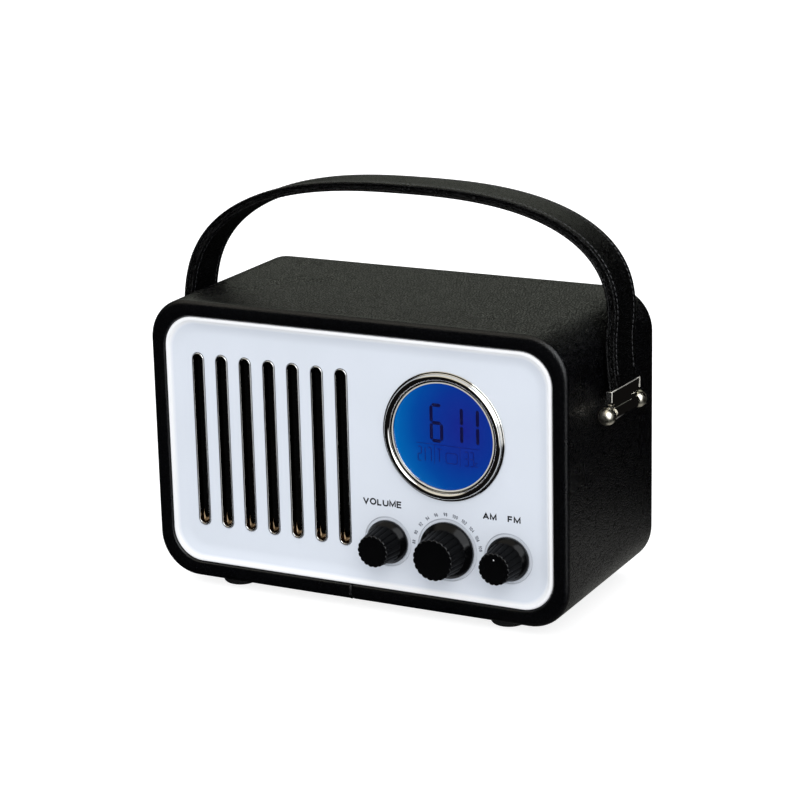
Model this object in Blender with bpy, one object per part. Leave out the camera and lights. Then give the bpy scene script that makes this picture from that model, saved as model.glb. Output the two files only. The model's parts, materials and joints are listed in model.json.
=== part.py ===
"""Leather-wrapped portable radio, built as the pieces that it comes apart into.

Metres, +Z up. The front faces -Y, the feet stand on z = 0, and the origin is under the
middle of the whole radio. Places on the cabinet are given as x, the depth behind its front
face and the height above its underside, and at() turns them into world coordinates.
"""

import math

import bmesh
import bpy
from mathutils import Vector

# Cabinet
CABINET_WIDTH = 0.220
CABINET_HEIGHT = 0.140
CABINET_DEPTH = 0.105
CORNER_RADIUS = 0.0205
EDGE_ROUND = 0.0026
LEATHER = 0.0012
GAP = 0.0003
OPENING_INSET = 0.0077
OPENING_RADIUS = 0.0160
OPENING_EDGE_ROUND = 0.0010
LEATHER_FOLD = 0.0080
CORNER_STEPS = 5
FOOT_HEIGHT = 0.0048
FOOT_RADIUS = 0.0092
FOOT_X = 0.073
FOOT_FROM_FACE = 0.015

# How far the knobs and the folded antenna stand out of the cabinet
KNOB_REACH = 0.0132
ANTENNA_REACH = 0.0074
FRONT_Y = KNOB_REACH - (KNOB_REACH + CABINET_DEPTH + ANTENNA_REACH) / 2

# Front panel, a shallow tray
PANEL_INSET = OPENING_INSET + GAP
PANEL_RADIUS = OPENING_RADIUS - GAP
LIP_DEPTH = 0.0004
FIELD_DEPTH = 0.0030
FIELD_INSET = 0.0085
PANEL_THICKNESS = 0.0020
PANEL_BACK = FIELD_DEPTH + PANEL_THICKNESS

# Grille
SLOT_COUNT = 7
SLOT_PITCH = 0.01303
SLOT_WIDTH = 0.0064
SLOT_LENGTH = 0.0873
SLOT_RIM = 0.0006
SLOT_STEPS = 4
GRILLE_X = -0.0462
GRILLE_HEIGHT = 0.0700
GRILLE_PLATE = 0.0010
GRILLE_MARGIN = 0.0035

# Loudspeaker
SPEAKER_RADIUS = 0.041
SPEAKER_CONE_RADIUS = 0.033
SPEAKER_MAGNET_RADIUS = 0.020
SPEAKER_FRONT = 0.0074
SPEAKER_BACK = 0.0270
MAGNET_BACK = 0.0370

# Clock display
DISPLAY_X = 0.0463
DISPLAY_HEIGHT = 0.0867
BEZEL_RADIUS = 0.0313
WINDOW_RADIUS = 0.0258
LENS_RADIUS = 0.0267
COLLAR_RADIUS = 0.0278
DISPLAY_WIDTH = 0.0560

# Knobs and the controls behind them
KNOB_HEIGHT = 0.0312
SHAFT_RADIUS = 0.0030
RUNNING_CLEARANCE = 0.00008
SHAFT_INNER_END = 0.0150
SHAFT_OUTER_END = -0.0080
RECESS_DEPTH = 0.0008
RECESS_MARGIN = 0.0014
BUSHING_WALL = 0.0009
BUSHING_FRONT = PANEL_BACK - 0.0006
CAPACITOR_HALF = 0.010
KNOB_BASE = 0.0034
KNOB_SHOULDER = -0.0012
GRIP_SHARE = 0.70
KNOB_STEPS = 28
SMALL_KNOB_RADIUS = 0.0107
LARGE_KNOB_RADIUS = 0.0138
CONTROL_BACK = 0.0172
CONTROLS = {
    "volume": (0.0157, SMALL_KNOB_RADIUS),
    "tuning": (0.0470, LARGE_KNOB_RADIUS),
    "band": (0.0784, SMALL_KNOB_RADIUS),
}

# Circuit boards and aerial rod
BOARD_THICKNESS = 0.0016
FERRITE_RADIUS = 0.0040
FERRITE_LENGTH = 0.110
FERRITE_DEPTH = 0.052
FERRITE_HEIGHT = 0.1215

# Back cover and what it carries
COVER_FACE = CABINET_DEPTH - 0.0018
COVER_THICKNESS = 0.0022
COVER_INNER = COVER_FACE - COVER_THICKNESS
BAY_X = 0.036
BAY_HEIGHT = 0.048
BAY_WIDTH = 0.063
BAY_TALL = 0.055
BAY_DEPTH = 0.0165
BAY_WALL = 0.0015
DOOR_MARGIN = 0.0025
BUTTON_RADIUS = 0.0032
BUTTON_X = (-0.076, -0.063, -0.050, -0.037)
BUTTON_HEIGHT = 0.090
JACK_HEIGHT = 0.026
DC_JACK_X = -0.080
AUX_JACK_X = -0.062
SCREW_X = 0.092
SCREW_LOW = 0.0165
SCREW_HIGH = 0.1235

# Telescopic antenna, folded along the top of the back
ANTENNA_X = -0.076
ANTENNA_HEIGHT = 0.112
ANTENNA_LENGTH = 0.150
TUBE_RADII = (0.0028, 0.0021, 0.0015)
ANTENNA_AXIS_DEPTH = CABINET_DEPTH + ANTENNA_REACH - TUBE_RADII[0]
TUBE_BORES = (0.0022, 0.0016)
TONGUE_HALF = 0.0013
TILT_PIN_RADIUS = 0.0010

# Handle, modelled upright and then leaned back on its pivot
PIVOT_DEPTH = CABINET_DEPTH / 2
PIVOT_HEIGHT = 0.0952
PIVOT_X = CABINET_WIDTH / 2 + 0.0053
HANDLE_LEAN = math.radians(-2.0)
POST_RADIUS = 0.0025
POST_INNER_X = 0.0985
BUSHING_RADIUS = 0.0045
BUSHING_FLANGE = 0.0065
BALL_RADIUS = 0.00425
BALL_SPACING = 0.038
PIN_RADIUS = 0.0020
BARREL_RADIUS = 0.00325
BARREL_LENGTH = 0.0276
CLIP_WIDTH = 0.0345
CLIP_THICKNESS = 0.0031
CLIP_PLATE_FOOT = 0.0048
CLIP_PLATE_TOP = 0.0113
CLIP_SLOT = 0.0020
STRAP_WIDTH = 0.025
STRAP_LAYER = 0.0013
STRAP_HALF_SPAN = 0.1133
STRAP_RISE = 0.0623
STRAP_SHOULDER = 0.130 - PIVOT_HEIGHT
STRAP_FULLNESS = 2.58
STRAP_SKEW = 0.0065
STRAP_STEPS = 30

COLOURS = {
    "leather_black": ((0.012, 0.012, 0.013), 0.50, 0.0),
    "wood_fibre": ((0.32, 0.20, 0.11), 0.80, 0.0),
    "gloss_white": ((0.80, 0.83, 0.88), 0.15, 0.0),
    "chrome": ((0.80, 0.80, 0.80), 0.08, 1.0),
    "grille_cloth": ((0.02, 0.02, 0.02), 0.95, 0.0),
    "steel": ((0.45, 0.45, 0.45), 0.35, 1.0),
    "paper_cone": ((0.05, 0.04, 0.035), 0.90, 0.0),
    "clear_window": ((0.90, 0.95, 1.00), 0.05, 0.0),
    "display_blue": ((0.02, 0.16, 0.70), 0.20, 0.0),
    "light_guide": ((0.75, 0.85, 0.95), 0.30, 0.0),
    "circuit_board": ((0.02, 0.16, 0.06), 0.50, 0.0),
    "knob_black": ((0.010, 0.010, 0.011), 0.28, 0.0),
    "black_plastic": ((0.016, 0.016, 0.017), 0.45, 0.0),
    "ferrite": ((0.05, 0.05, 0.055), 0.60, 0.0),
    "copper_wire": ((0.60, 0.22, 0.08), 0.35, 1.0),
    "brass": ((0.70, 0.50, 0.20), 0.30, 1.0),
    "rubber": ((0.015, 0.015, 0.015), 0.85, 0.0),
}


def at(x, depth, height):
    """World place from the cabinet's own x, depth behind the front and height."""
    return Vector((x, FRONT_Y + depth, FOOT_HEIGHT + height))


def clear_scene():
    for item in list(bpy.data.objects):
        bpy.data.objects.remove(item, do_unlink=True)


def make_materials():
    """One Principled material for each kind of surface."""
    made = {}
    for name, (colour, roughness, metallic) in COLOURS.items():
        material = bpy.data.materials.new(name)
        material.use_nodes = True
        shader = material.node_tree.nodes["Principled BSDF"]
        shader.inputs["Base Color"].default_value = (*colour, 1.0)
        shader.inputs["Roughness"].default_value = roughness
        shader.inputs["Metallic"].default_value = metallic
        material.diffuse_color = (*colour, 1.0)
        made[name] = material
    return made


# ---------------------------------------------------------------- mesh helpers


def loft(rings, closed=False):
    """One body skinned over rings of equal length; closed joins the last to the first."""
    bm = bmesh.new()
    loops = [[bm.verts.new(point) for point in ring] for ring in rings]
    count = len(loops[0])
    followers = loops[1:] + loops[:1] if closed else loops[1:]
    for near, far in zip(loops, followers):
        for i in range(count):
            j = (i + 1) % count
            bm.faces.new((near[i], near[j], far[j], far[i]))
    if not closed:
        bm.faces.new(loops[0])
        bm.faces.new(loops[-1])
    bmesh.ops.recalc_face_normals(bm, faces=bm.faces)
    return bm


def rounded_rectangle(half_width, half_height, radius, steps):
    """Outline points in the plane, anticlockwise, with steps faces in each corner."""
    points = []
    for corner, (sign_x, sign_z) in enumerate(((1, 1), (-1, 1), (-1, -1), (1, -1))):
        centre_x = sign_x * (half_width - radius)
        centre_z = sign_z * (half_height - radius)
        for step in range(steps + 1):
            angle = math.pi / 2 * (corner + step / steps)
            points.append((centre_x + radius * math.cos(angle), centre_z + radius * math.sin(angle)))
    return points


def cabinet_ring(inset, depth, radius):
    """The cabinet's front outline, moved inwards by inset, at a depth."""
    outline = rounded_rectangle(
        CABINET_WIDTH / 2 - inset, CABINET_HEIGHT / 2 - inset, radius, CORNER_STEPS
    )
    return [at(x, depth, z + CABINET_HEIGHT / 2) for x, z in outline]


def wall_radius(inset):
    """Corner radius between the outer skin and the edge of the opening."""
    return CORNER_RADIUS + (OPENING_RADIUS - CORNER_RADIUS) * inset / OPENING_INSET


def slab(x, height, width, tall, radius, near, far, steps=4):
    """A plate with rounded corners, facing the front, between two depths."""
    outline = rounded_rectangle(width / 2, tall / 2, radius, steps)
    return loft([[at(x + px, depth, height + pz) for px, pz in outline] for depth in (near, far)])


def turned(place, axis, profile, segments, closed=False):
    """A turned body: profile is (radius, distance along axis) from place."""
    order = {"X": (1, 2, 0), "Y": (2, 0, 1), "Z": (0, 1, 2)}[axis]
    rings = []
    for radius, distance in profile:
        ring = []
        for i in range(segments):
            angle = 2 * math.pi * i / segments
            local = (radius * math.cos(angle), radius * math.sin(angle), distance)
            point = Vector()
            for part, target in zip(local, order):
                point[target] = part
            ring.append(place + point)
        rings.append(ring)
    return loft(rings, closed)


def block(low, high, bevel=0.0):
    """A box between two corners, with its edges taken off by bevel."""
    bm = bmesh.new()
    bmesh.ops.create_cube(bm, size=1.0)
    middle = (low + high) / 2
    size = high - low
    bmesh.ops.scale(bm, vec=size, verts=bm.verts)
    bmesh.ops.translate(bm, vec=middle, verts=bm.verts)
    if bevel:
        bmesh.ops.bevel(bm, geom=bm.edges[:], offset=bevel, segments=1, affect="EDGES")
    return bm


def cabinet_block(x, depth, height, bevel=0.0):
    """A box from its (low, high) pairs in the cabinet's own measures."""
    return block(at(x[0], depth[0], height[0]), at(x[1], depth[1], height[1]), bevel)


def joined(meshes):
    """Several closed bodies in one mesh, for a cutter or for a union."""
    bm = bmesh.new()
    for part in meshes:
        mesh = bpy.data.meshes.new("joined")
        part.to_mesh(mesh)
        part.free()
        bm.from_mesh(mesh)
        bpy.data.meshes.remove(mesh)
    return bm


def make_object(name, bm, material, origin, parent=None):
    """Turns a mesh in world coordinates into an object whose origin is at origin."""
    bmesh.ops.translate(bm, vec=-origin, verts=bm.verts)
    mesh = bpy.data.meshes.new(name)
    bm.to_mesh(mesh)
    bm.free()
    mesh.shade_smooth()
    mesh.set_sharp_from_angle(angle=math.radians(32))
    mesh.materials.append(material)
    item = bpy.data.objects.new(name, mesh)
    item.location = origin
    if parent:
        item.parent = parent
        item.location = origin - parent.location
    bpy.context.collection.objects.link(item)
    return item


def combine(item, operation, bm):
    """Cuts the mesh out of the object, or joins it on, with a live Boolean modifier."""
    mesh = bpy.data.meshes.new(item.name + "_tool")
    bm.to_mesh(mesh)
    bm.free()
    tool = bpy.data.objects.new(item.name + "_tool", mesh)
    bpy.context.collection.objects.link(tool)
    if item.parent:
        tool.parent = item.parent
        tool.location = -item.parent.location
    tool.hide_render = True
    tool.display_type = "WIRE"
    modifier = item.modifiers.new(operation.lower(), "BOOLEAN")
    modifier.operation = operation
    modifier.solver = "EXACT"
    modifier.object = tool
    return tool


# ---------------------------------------------------------------- cabinet


def leather_rim():
    """Half of the leather's section: (inset, depth) from the side, over the rim, and back."""
    rim = []
    for step in range(4):
        angle = math.pi / 2 * step / 3
        rim.append((EDGE_ROUND * (1 - math.cos(angle)), EDGE_ROUND * (1 - math.sin(angle))))
    for step in range(3):
        angle = math.pi / 2 * step / 2
        inset = OPENING_INSET - OPENING_EDGE_ROUND * (1 - math.sin(angle))
        rim.append((inset, OPENING_EDGE_ROUND * (1 - math.cos(angle))))
    rim.append((OPENING_INSET, LEATHER_FOLD))
    rim.append((OPENING_INSET - LEATHER, LEATHER_FOLD))
    rim.append((OPENING_INSET - LEATHER, LEATHER))
    rim.append((LEATHER, LEATHER))
    return rim


def side_holes():
    """Cutter for the two holes that the handle's bushings pass through."""
    holes = []
    for side in (-1, 1):
        place = at(side * CABINET_WIDTH / 2, PIVOT_DEPTH, PIVOT_HEIGHT)
        profile = [(BUSHING_RADIUS + GAP, -0.012), (BUSHING_RADIUS + GAP, 0.012)]
        holes.append(turned(place, "X", profile, 24))
    return joined(holes)


def make_cabinet(materials):
    centre = at(0, CABINET_DEPTH / 2, CABINET_HEIGHT / 2)
    rim = leather_rim()
    section = rim + [(inset, CABINET_DEPTH - depth) for inset, depth in reversed(rim)]
    rings = [cabinet_ring(inset, depth, wall_radius(inset)) for inset, depth in section]
    wrap = make_object("leather_wrap", loft(rings, True), materials["leather_black"], centre)
    combine(wrap, "DIFFERENCE", side_holes())

    outer = LEATHER + GAP
    inner = OPENING_INSET - LEATHER - GAP
    near = LEATHER + GAP
    far = CABINET_DEPTH - near
    section = [(outer, near), (outer, far), (inner, far), (inner, near)]
    rings = [cabinet_ring(inset, depth, wall_radius(inset)) for inset, depth in section]
    shell = make_object("cabinet_shell", loft(rings, True), materials["wood_fibre"], centre)
    combine(shell, "DIFFERENCE", side_holes())


def make_feet(materials):
    """Four rubber feet; they end just under the leather."""
    top = FOOT_HEIGHT - GAP
    profile = [(FOOT_RADIUS - 0.0012, 0.0), (FOOT_RADIUS, 0.0012), (FOOT_RADIUS, top)]
    for end, depth in (("front", FOOT_FROM_FACE), ("rear", CABINET_DEPTH - FOOT_FROM_FACE)):
        for side, sign in (("left", -1), ("right", 1)):
            place = at(sign * FOOT_X, depth, -FOOT_HEIGHT)
            foot = turned(place, "Z", profile, 24)
            make_object(f"foot_{end}_{side}", foot, materials["rubber"], place)


# ---------------------------------------------------------------- front


def slot_solids(width, length, near, far):
    """Seven upright slots with round ends, between two depths."""
    solids = []
    for i in range(SLOT_COUNT):
        x = GRILLE_X + (i - (SLOT_COUNT - 1) / 2) * SLOT_PITCH
        radius = width / 2 - 0.00005
        solids.append(slab(x, GRILLE_HEIGHT, width, length, radius, near, far, SLOT_STEPS))
    return solids


def make_front_panel(materials):
    """The white tray: a raised lip, a hollow slope and a flat field with its openings."""
    lip = LIP_DEPTH
    section = [
        (FIELD_INSET, PANEL_BACK),
        (0.0020, lip + 0.0030),
        (0.0, lip + 0.0030),
        (0.0, lip + 0.0008),
        (0.0003, lip + 0.0002),
        (0.0009, lip),
        (0.0016, lip + 0.0003),
        (0.0026, lip + 0.0010),
        (0.0044, lip + 0.0019),
        (0.0064, FIELD_DEPTH - 0.0002),
        (FIELD_INSET, FIELD_DEPTH),
    ]
    rings = [
        cabinet_ring(PANEL_INSET + inset, depth, PANEL_RADIUS - 0.6 * inset)
        for inset, depth in section
    ]
    centre = at(0, FIELD_DEPTH, CABINET_HEIGHT / 2)
    panel = make_object("front_panel", loft(rings), materials["gloss_white"], centre)

    through = (FIELD_DEPTH - 0.004, PANEL_BACK + 0.003)
    cuts = slot_solids(SLOT_WIDTH + 2 * GAP, SLOT_LENGTH + 2 * GAP, *through)
    window = at(DISPLAY_X, 0, DISPLAY_HEIGHT)
    opening = COLLAR_RADIUS + GAP
    cuts.append(turned(window, "Y", [(opening, through[0]), (opening, through[1])], 36))
    for x, knob_radius in CONTROLS.values():
        place = at(x, 0, KNOB_HEIGHT)
        recess = knob_radius + RECESS_MARGIN
        hole = SHAFT_RADIUS + BUSHING_WALL + 0.0004
        floor = FIELD_DEPTH + RECESS_DEPTH
        profile = [(recess, through[0]), (recess, floor), (hole, floor), (hole, through[1])]
        cuts.append(turned(place, "Y", profile, 24))
    combine(panel, "DIFFERENCE", joined(cuts))


def make_grille(materials):
    """A chromed insert whose rims line the slots, and the cloth behind it."""
    width = (SLOT_COUNT - 1) * SLOT_PITCH + SLOT_WIDTH + 2 * GRILLE_MARGIN
    tall = SLOT_LENGTH + 2 * GRILLE_MARGIN
    near = PANEL_BACK + GAP
    far = near + GRILLE_PLATE
    centre = at(GRILLE_X, near, GRILLE_HEIGHT)
    plate = slab(GRILLE_X, GRILLE_HEIGHT, width, tall, 0.004, near, far)
    insert = make_object("grille_insert", plate, materials["chrome"], centre)
    rims = slot_solids(SLOT_WIDTH, SLOT_LENGTH, FIELD_DEPTH - 0.0002, near + GRILLE_PLATE / 2)
    combine(insert, "UNION", joined(rims))
    clear = 2 * SLOT_RIM
    openings = slot_solids(SLOT_WIDTH - clear, SLOT_LENGTH - clear, 0.0, far + 0.002)
    combine(insert, "DIFFERENCE", joined(openings))

    cloth = slab(GRILLE_X, GRILLE_HEIGHT, width, tall, 0.004, far + GAP, far + GAP + 0.0005)
    make_object("grille_cloth", cloth, materials["grille_cloth"], centre)


def make_speaker(materials):
    place = at(GRILLE_X, 0, GRILLE_HEIGHT)
    rim = SPEAKER_RADIUS
    cone = SPEAKER_CONE_RADIUS
    front = SPEAKER_FRONT
    back = SPEAKER_BACK
    basket = [
        (cone, front),
        (rim, front),
        (rim, front + 0.0015),
        (cone + 0.0015, front + 0.0015),
        (0.0185, back),
        (0.0080, back),
        (0.0080, back - 0.0010),
        (0.0175, back - 0.0010),
        (cone, front + 0.0015),
    ]
    body = turned(place, "Y", basket, 24, closed=True)
    make_object("speaker_basket", body, materials["steel"], place)

    paper = [
        (0.0008, 0.0178),
        (0.0080, 0.0198),
        (0.0090, 0.0206),
        (0.0270, 0.0102),
        (cone - GAP, 0.0088),
        (cone - GAP, 0.0080),
        (0.0305, 0.0076),
        (0.0280, 0.0090),
        (0.0090, 0.0196),
        (0.0078, 0.0188),
        (0.0045, 0.0174),
        (0.0008, 0.0168),
    ]
    make_object("speaker_cone", turned(place, "Y", paper, 22), materials["paper_cone"], place)

    radius = SPEAKER_MAGNET_RADIUS
    magnet = [
        (radius - 0.001, back + GAP),
        (radius, back + 0.0013),
        (radius, MAGNET_BACK - 0.001),
        (radius - 0.001, MAGNET_BACK),
    ]
    make_object("speaker_magnet", turned(place, "Y", magnet, 24), materials["ferrite"], place)


def make_display(materials):
    """Chromed bezel, clear window, the display glass and its light guide."""
    place = at(DISPLAY_X, 0, DISPLAY_HEIGHT)
    seat = FIELD_DEPTH - GAP
    bezel = [
        (BEZEL_RADIUS, seat),
        (BEZEL_RADIUS, seat - 0.0005),
        (0.0305, seat - 0.0009),
        (0.0296, seat - 0.0023),
        (0.0283, seat - 0.0027),
        (0.0271, seat - 0.0022),
        (0.0265, seat - 0.0010),
        (WINDOW_RADIUS, seat - 0.0008),
        (WINDOW_RADIUS, FIELD_DEPTH),
        (LENS_RADIUS + GAP, FIELD_DEPTH),
        (LENS_RADIUS + GAP, PANEL_BACK),
        (COLLAR_RADIUS, PANEL_BACK),
        (COLLAR_RADIUS, seat),
    ]
    ring = turned(place, "Y", bezel, 36, closed=True)
    make_object("display_bezel", ring, materials["chrome"], place)

    lens = [(LENS_RADIUS, FIELD_DEPTH + GAP), (LENS_RADIUS, FIELD_DEPTH + GAP + 0.0012)]
    make_object("display_lens", turned(place, "Y", lens, 32), materials["clear_window"], place)

    layers = (
        ("display_glass", "display_blue", PANEL_BACK + GAP, 0.0018, DISPLAY_WIDTH),
        ("display_backlight", "light_guide", PANEL_BACK + 2 * GAP + 0.0018, 0.0030, DISPLAY_WIDTH),
    )
    for name, surface, near, thickness, side in layers:
        layer = slab(DISPLAY_X, DISPLAY_HEIGHT, side, side, 0.001, near, near + thickness, 2)
        make_object(name, layer, materials[surface], place)

    board_near = CONTROL_BACK + GAP
    board = slab(0.051, 0.070, 0.090, 0.108, 0.001, board_near, board_near + BOARD_THICKNESS, 2)
    make_object("display_board", board, materials["circuit_board"], place)


def control_profile(radius, front):
    """A round control's body with the bushing that reaches into the panel."""
    bushing = SHAFT_RADIUS + BUSHING_WALL
    return [
        (radius, CONTROL_BACK),
        (radius, front),
        (bushing, front),
        (bushing, BUSHING_FRONT),
    ]


def make_controls(materials):
    """Volume control, tuning capacitor and band switch, with their shafts and knobs."""
    names = {"volume": "volume_control", "tuning": "tuning_capacitor", "band": "band_switch"}
    bodies = {"volume": 0.0080, "tuning": 0.0058, "band": 0.0070}
    fronts = {"volume": 0.0080, "tuning": 0.0066, "band": 0.0092}
    for key, (x, knob_radius) in CONTROLS.items():
        place = at(x, 0, KNOB_HEIGHT)
        body = turned(place, "Y", control_profile(bodies[key], fronts[key]), 16)
        control = make_object(names[key], body, materials["steel"], place)
        if key == "tuning":
            case_x = (x - CAPACITOR_HALF, x + CAPACITOR_HALF)
            case_z = (KNOB_HEIGHT - CAPACITOR_HALF, KNOB_HEIGHT + CAPACITOR_HALF)
            case_depth = (fronts[key] + 0.0008, CONTROL_BACK - 0.0004)
            combine(control, "UNION", cabinet_block(case_x, case_depth, case_z))
        radius = SHAFT_RADIUS + RUNNING_CLEARANCE
        bore = [(radius, BUSHING_FRONT - 0.001), (radius, SHAFT_INNER_END + GAP)]
        combine(control, "DIFFERENCE", turned(place, "Y", bore, 16))

        shaft = [
            (SHAFT_RADIUS, SHAFT_INNER_END),
            (SHAFT_RADIUS, SHAFT_OUTER_END + 0.0005),
            (SHAFT_RADIUS - 0.0005, SHAFT_OUTER_END),
        ]
        rod = turned(place, "Y", shaft, 16)
        make_object(f"{key}_shaft", rod, materials["brass"], place)
        knob = turned(place, "Y", knob_profile(knob_radius), KNOB_STEPS)
        make_object(f"{key}_knob", knob, materials["knob_black"], place)


def knob_profile(radius):
    """Skirt, cone and fluted grip, from the shaft's bore round to the face."""
    bore = SHAFT_RADIUS + GAP
    shoulder = radius * GRIP_SHARE + 0.0014
    face = radius * GRIP_SHARE
    return [
        (bore, SHAFT_OUTER_END - GAP),
        (bore, KNOB_BASE),
        (radius - 0.0004, KNOB_BASE),
        (radius, KNOB_BASE - 0.0006),
        (radius - 0.0002, KNOB_BASE - 0.0022),
        (shoulder, KNOB_SHOULDER),
        (face, -KNOB_REACH + 0.0006),
        (face - 0.0006, -KNOB_REACH),
    ]


# ---------------------------------------------------------------- inside


def make_electronics(materials):
    board = slab(-0.006, 0.078, 0.110, 0.070, 0.001, 0.0600, 0.0600 + BOARD_THICKNESS, 2)
    place = at(-0.006, 0.060, 0.078)
    make_object("main_board", board, materials["circuit_board"], place)

    place = at(0, FERRITE_DEPTH, FERRITE_HEIGHT)
    half = FERRITE_LENGTH / 2
    rod = turned(place, "X", [(FERRITE_RADIUS, -half), (FERRITE_RADIUS, half)], 20)
    make_object("ferrite_rod", rod, materials["ferrite"], place)
    inner = FERRITE_RADIUS + GAP
    outer = inner + 0.0013
    section = [(inner, 0.016), (outer, 0.016), (outer, 0.038), (inner, 0.038)]
    coil = turned(place, "X", section, 20, closed=True)
    make_object("aerial_coil", coil, materials["copper_wire"], place)


def make_battery_bay(materials):
    """An open box behind the back cover, its two contacts and the door."""
    half_width = BAY_WIDTH / 2
    half_tall = BAY_TALL / 2
    back = COVER_INNER - GAP
    floor = back - BAY_DEPTH
    place = at(BAY_X, floor, BAY_HEIGHT)
    outer_x = (BAY_X - half_width - BAY_WALL, BAY_X + half_width + BAY_WALL)
    outer_z = (BAY_HEIGHT - half_tall - BAY_WALL, BAY_HEIGHT + half_tall + BAY_WALL)
    outside = cabinet_block(outer_x, (floor - BAY_WALL, back), outer_z)
    box = make_object("battery_box", outside, materials["black_plastic"], place)
    inside_x = (BAY_X - half_width, BAY_X + half_width)
    inside_z = (BAY_HEIGHT - half_tall, BAY_HEIGHT + half_tall)
    combine(box, "DIFFERENCE", cabinet_block(inside_x, (floor, back + 0.004), inside_z))

    for side, sign in (("left", -1), ("right", 1)):
        wall = BAY_X + sign * (half_width - GAP)
        face = wall - sign * 0.0005
        span = (min(wall, face), max(wall, face))
        height = (BAY_HEIGHT - half_tall + 0.002, BAY_HEIGHT + half_tall - 0.002)
        contact = cabinet_block(span, (floor + 0.002, back - 0.002), height)
        place = at(wall, floor + BAY_DEPTH / 2, BAY_HEIGHT)
        make_object(f"battery_contact_{side}", contact, materials["steel"], place)

    place = at(BAY_X, COVER_FACE, BAY_HEIGHT)
    width = BAY_WIDTH + 2 * (DOOR_MARGIN - GAP)
    tall = BAY_TALL + 2 * (DOOR_MARGIN - GAP)
    ledge = COVER_FACE - COVER_THICKNESS / 2 + GAP
    door = slab(BAY_X, BAY_HEIGHT, width, tall, 0.0018, ledge, COVER_FACE, 3)
    make_object("battery_door", door, materials["black_plastic"], place)


def screw_places():
    for level, height in (("lower", SCREW_LOW), ("upper", SCREW_HIGH)):
        for side, sign in (("left", -1), ("right", 1)):
            yield f"cover_screw_{level}_{side}", at(sign * SCREW_X, 0, height)


def make_back_cover(materials):
    centre = at(0, COVER_FACE, CABINET_HEIGHT / 2)
    rings = [
        cabinet_ring(PANEL_INSET + 0.0005, COVER_FACE, PANEL_RADIUS - 0.0003),
        cabinet_ring(PANEL_INSET, COVER_FACE - 0.0005, PANEL_RADIUS),
        cabinet_ring(PANEL_INSET, COVER_INNER, PANEL_RADIUS),
    ]
    cover = make_object("back_cover", loft(rings), materials["black_plastic"], centre)

    near = COVER_INNER - 0.003
    far = COVER_FACE + 0.003
    ledge = COVER_FACE - COVER_THICKNESS / 2
    door_width = BAY_WIDTH + 2 * DOOR_MARGIN
    door_tall = BAY_TALL + 2 * DOOR_MARGIN
    combine(cover, "DIFFERENCE", slab(BAY_X, BAY_HEIGHT, door_width, door_tall, 0.002, ledge, far, 3))
    combine(cover, "DIFFERENCE", slab(BAY_X, BAY_HEIGHT, BAY_WIDTH, BAY_TALL, 0.001, near, far, 2))
    cuts = []
    for x in BUTTON_X:
        radius = BUTTON_RADIUS + GAP
        cuts.append(turned(at(x, 0, BUTTON_HEIGHT), "Y", [(radius, near), (radius, far)], 16))
    for x, radius in ((DC_JACK_X, 0.0042), (AUX_JACK_X, 0.0034)):
        cuts.append(turned(at(x, 0, JACK_HEIGHT), "Y", [(radius, near), (radius, far)], 16))
    for _, place in screw_places():
        seat = COVER_FACE - 0.0010
        profile = [(0.0017, near), (0.0017, seat), (0.0034, seat), (0.0034, far)]
        cuts.append(turned(place, "Y", profile, 12))
    stem = [(0.0033, near), (0.0033, far)]
    cuts.append(turned(at(ANTENNA_X, 0, ANTENNA_HEIGHT), "Y", stem, 20))
    combine(cover, "DIFFERENCE", joined(cuts))

    for name, place in screw_places():
        profile = [
            (0.0014, COVER_FACE - 0.009),
            (0.0014, COVER_FACE - 0.0007),
            (0.0031, COVER_FACE - 0.0007),
            (0.0029, COVER_FACE + 0.0002),
            (0.0020, COVER_FACE + 0.0006),
        ]
        screw = turned(place, "Y", profile, 12)
        make_object(name, screw, materials["steel"], place + Vector((0, COVER_FACE, 0)))


def make_rear_buttons(materials):
    """Four clock-setting buttons, held in by a flange behind the cover."""
    for name, x in zip(("mode", "set", "down", "up"), BUTTON_X):
        place = at(x, 0, BUTTON_HEIGHT)
        flange = COVER_INNER - GAP
        profile = [
            (BUTTON_RADIUS + 0.001, flange - 0.001),
            (BUTTON_RADIUS + 0.001, flange),
            (BUTTON_RADIUS, flange),
            (BUTTON_RADIUS, COVER_FACE + 0.0010),
            (BUTTON_RADIUS - 0.0005, COVER_FACE + 0.0014),
        ]
        button = turned(place, "Y", profile, 16)
        origin = place + Vector((0, COVER_FACE, 0))
        make_object(f"{name}_button", button, materials["knob_black"], origin)


def make_jacks(materials):
    """Power socket with its centre pin, and the audio input socket."""
    face = COVER_FACE + 0.0002
    power = [
        (0.0050, face - 0.012),
        (0.0050, COVER_INNER - GAP),
        (0.0039, COVER_INNER - GAP),
        (0.0039, face),
        (0.0028, face),
        (0.0028, face - 0.008),
        (0.0010, face - 0.008),
        (0.0010, face - 0.001),
    ]
    audio = [
        (0.0042, face - 0.012),
        (0.0042, COVER_INNER - GAP),
        (0.0031, COVER_INNER - GAP),
        (0.0031, face),
        (0.0018, face),
        (0.0018, face - 0.010),
    ]
    for name, x, profile in (("power_jack", DC_JACK_X, power), ("audio_jack", AUX_JACK_X, audio)):
        place = at(x, 0, JACK_HEIGHT)
        origin = place + Vector((0, face, 0))
        make_object(name, turned(place, "Y", profile, 16), materials["black_plastic"], origin)


# ---------------------------------------------------------------- antenna


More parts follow.
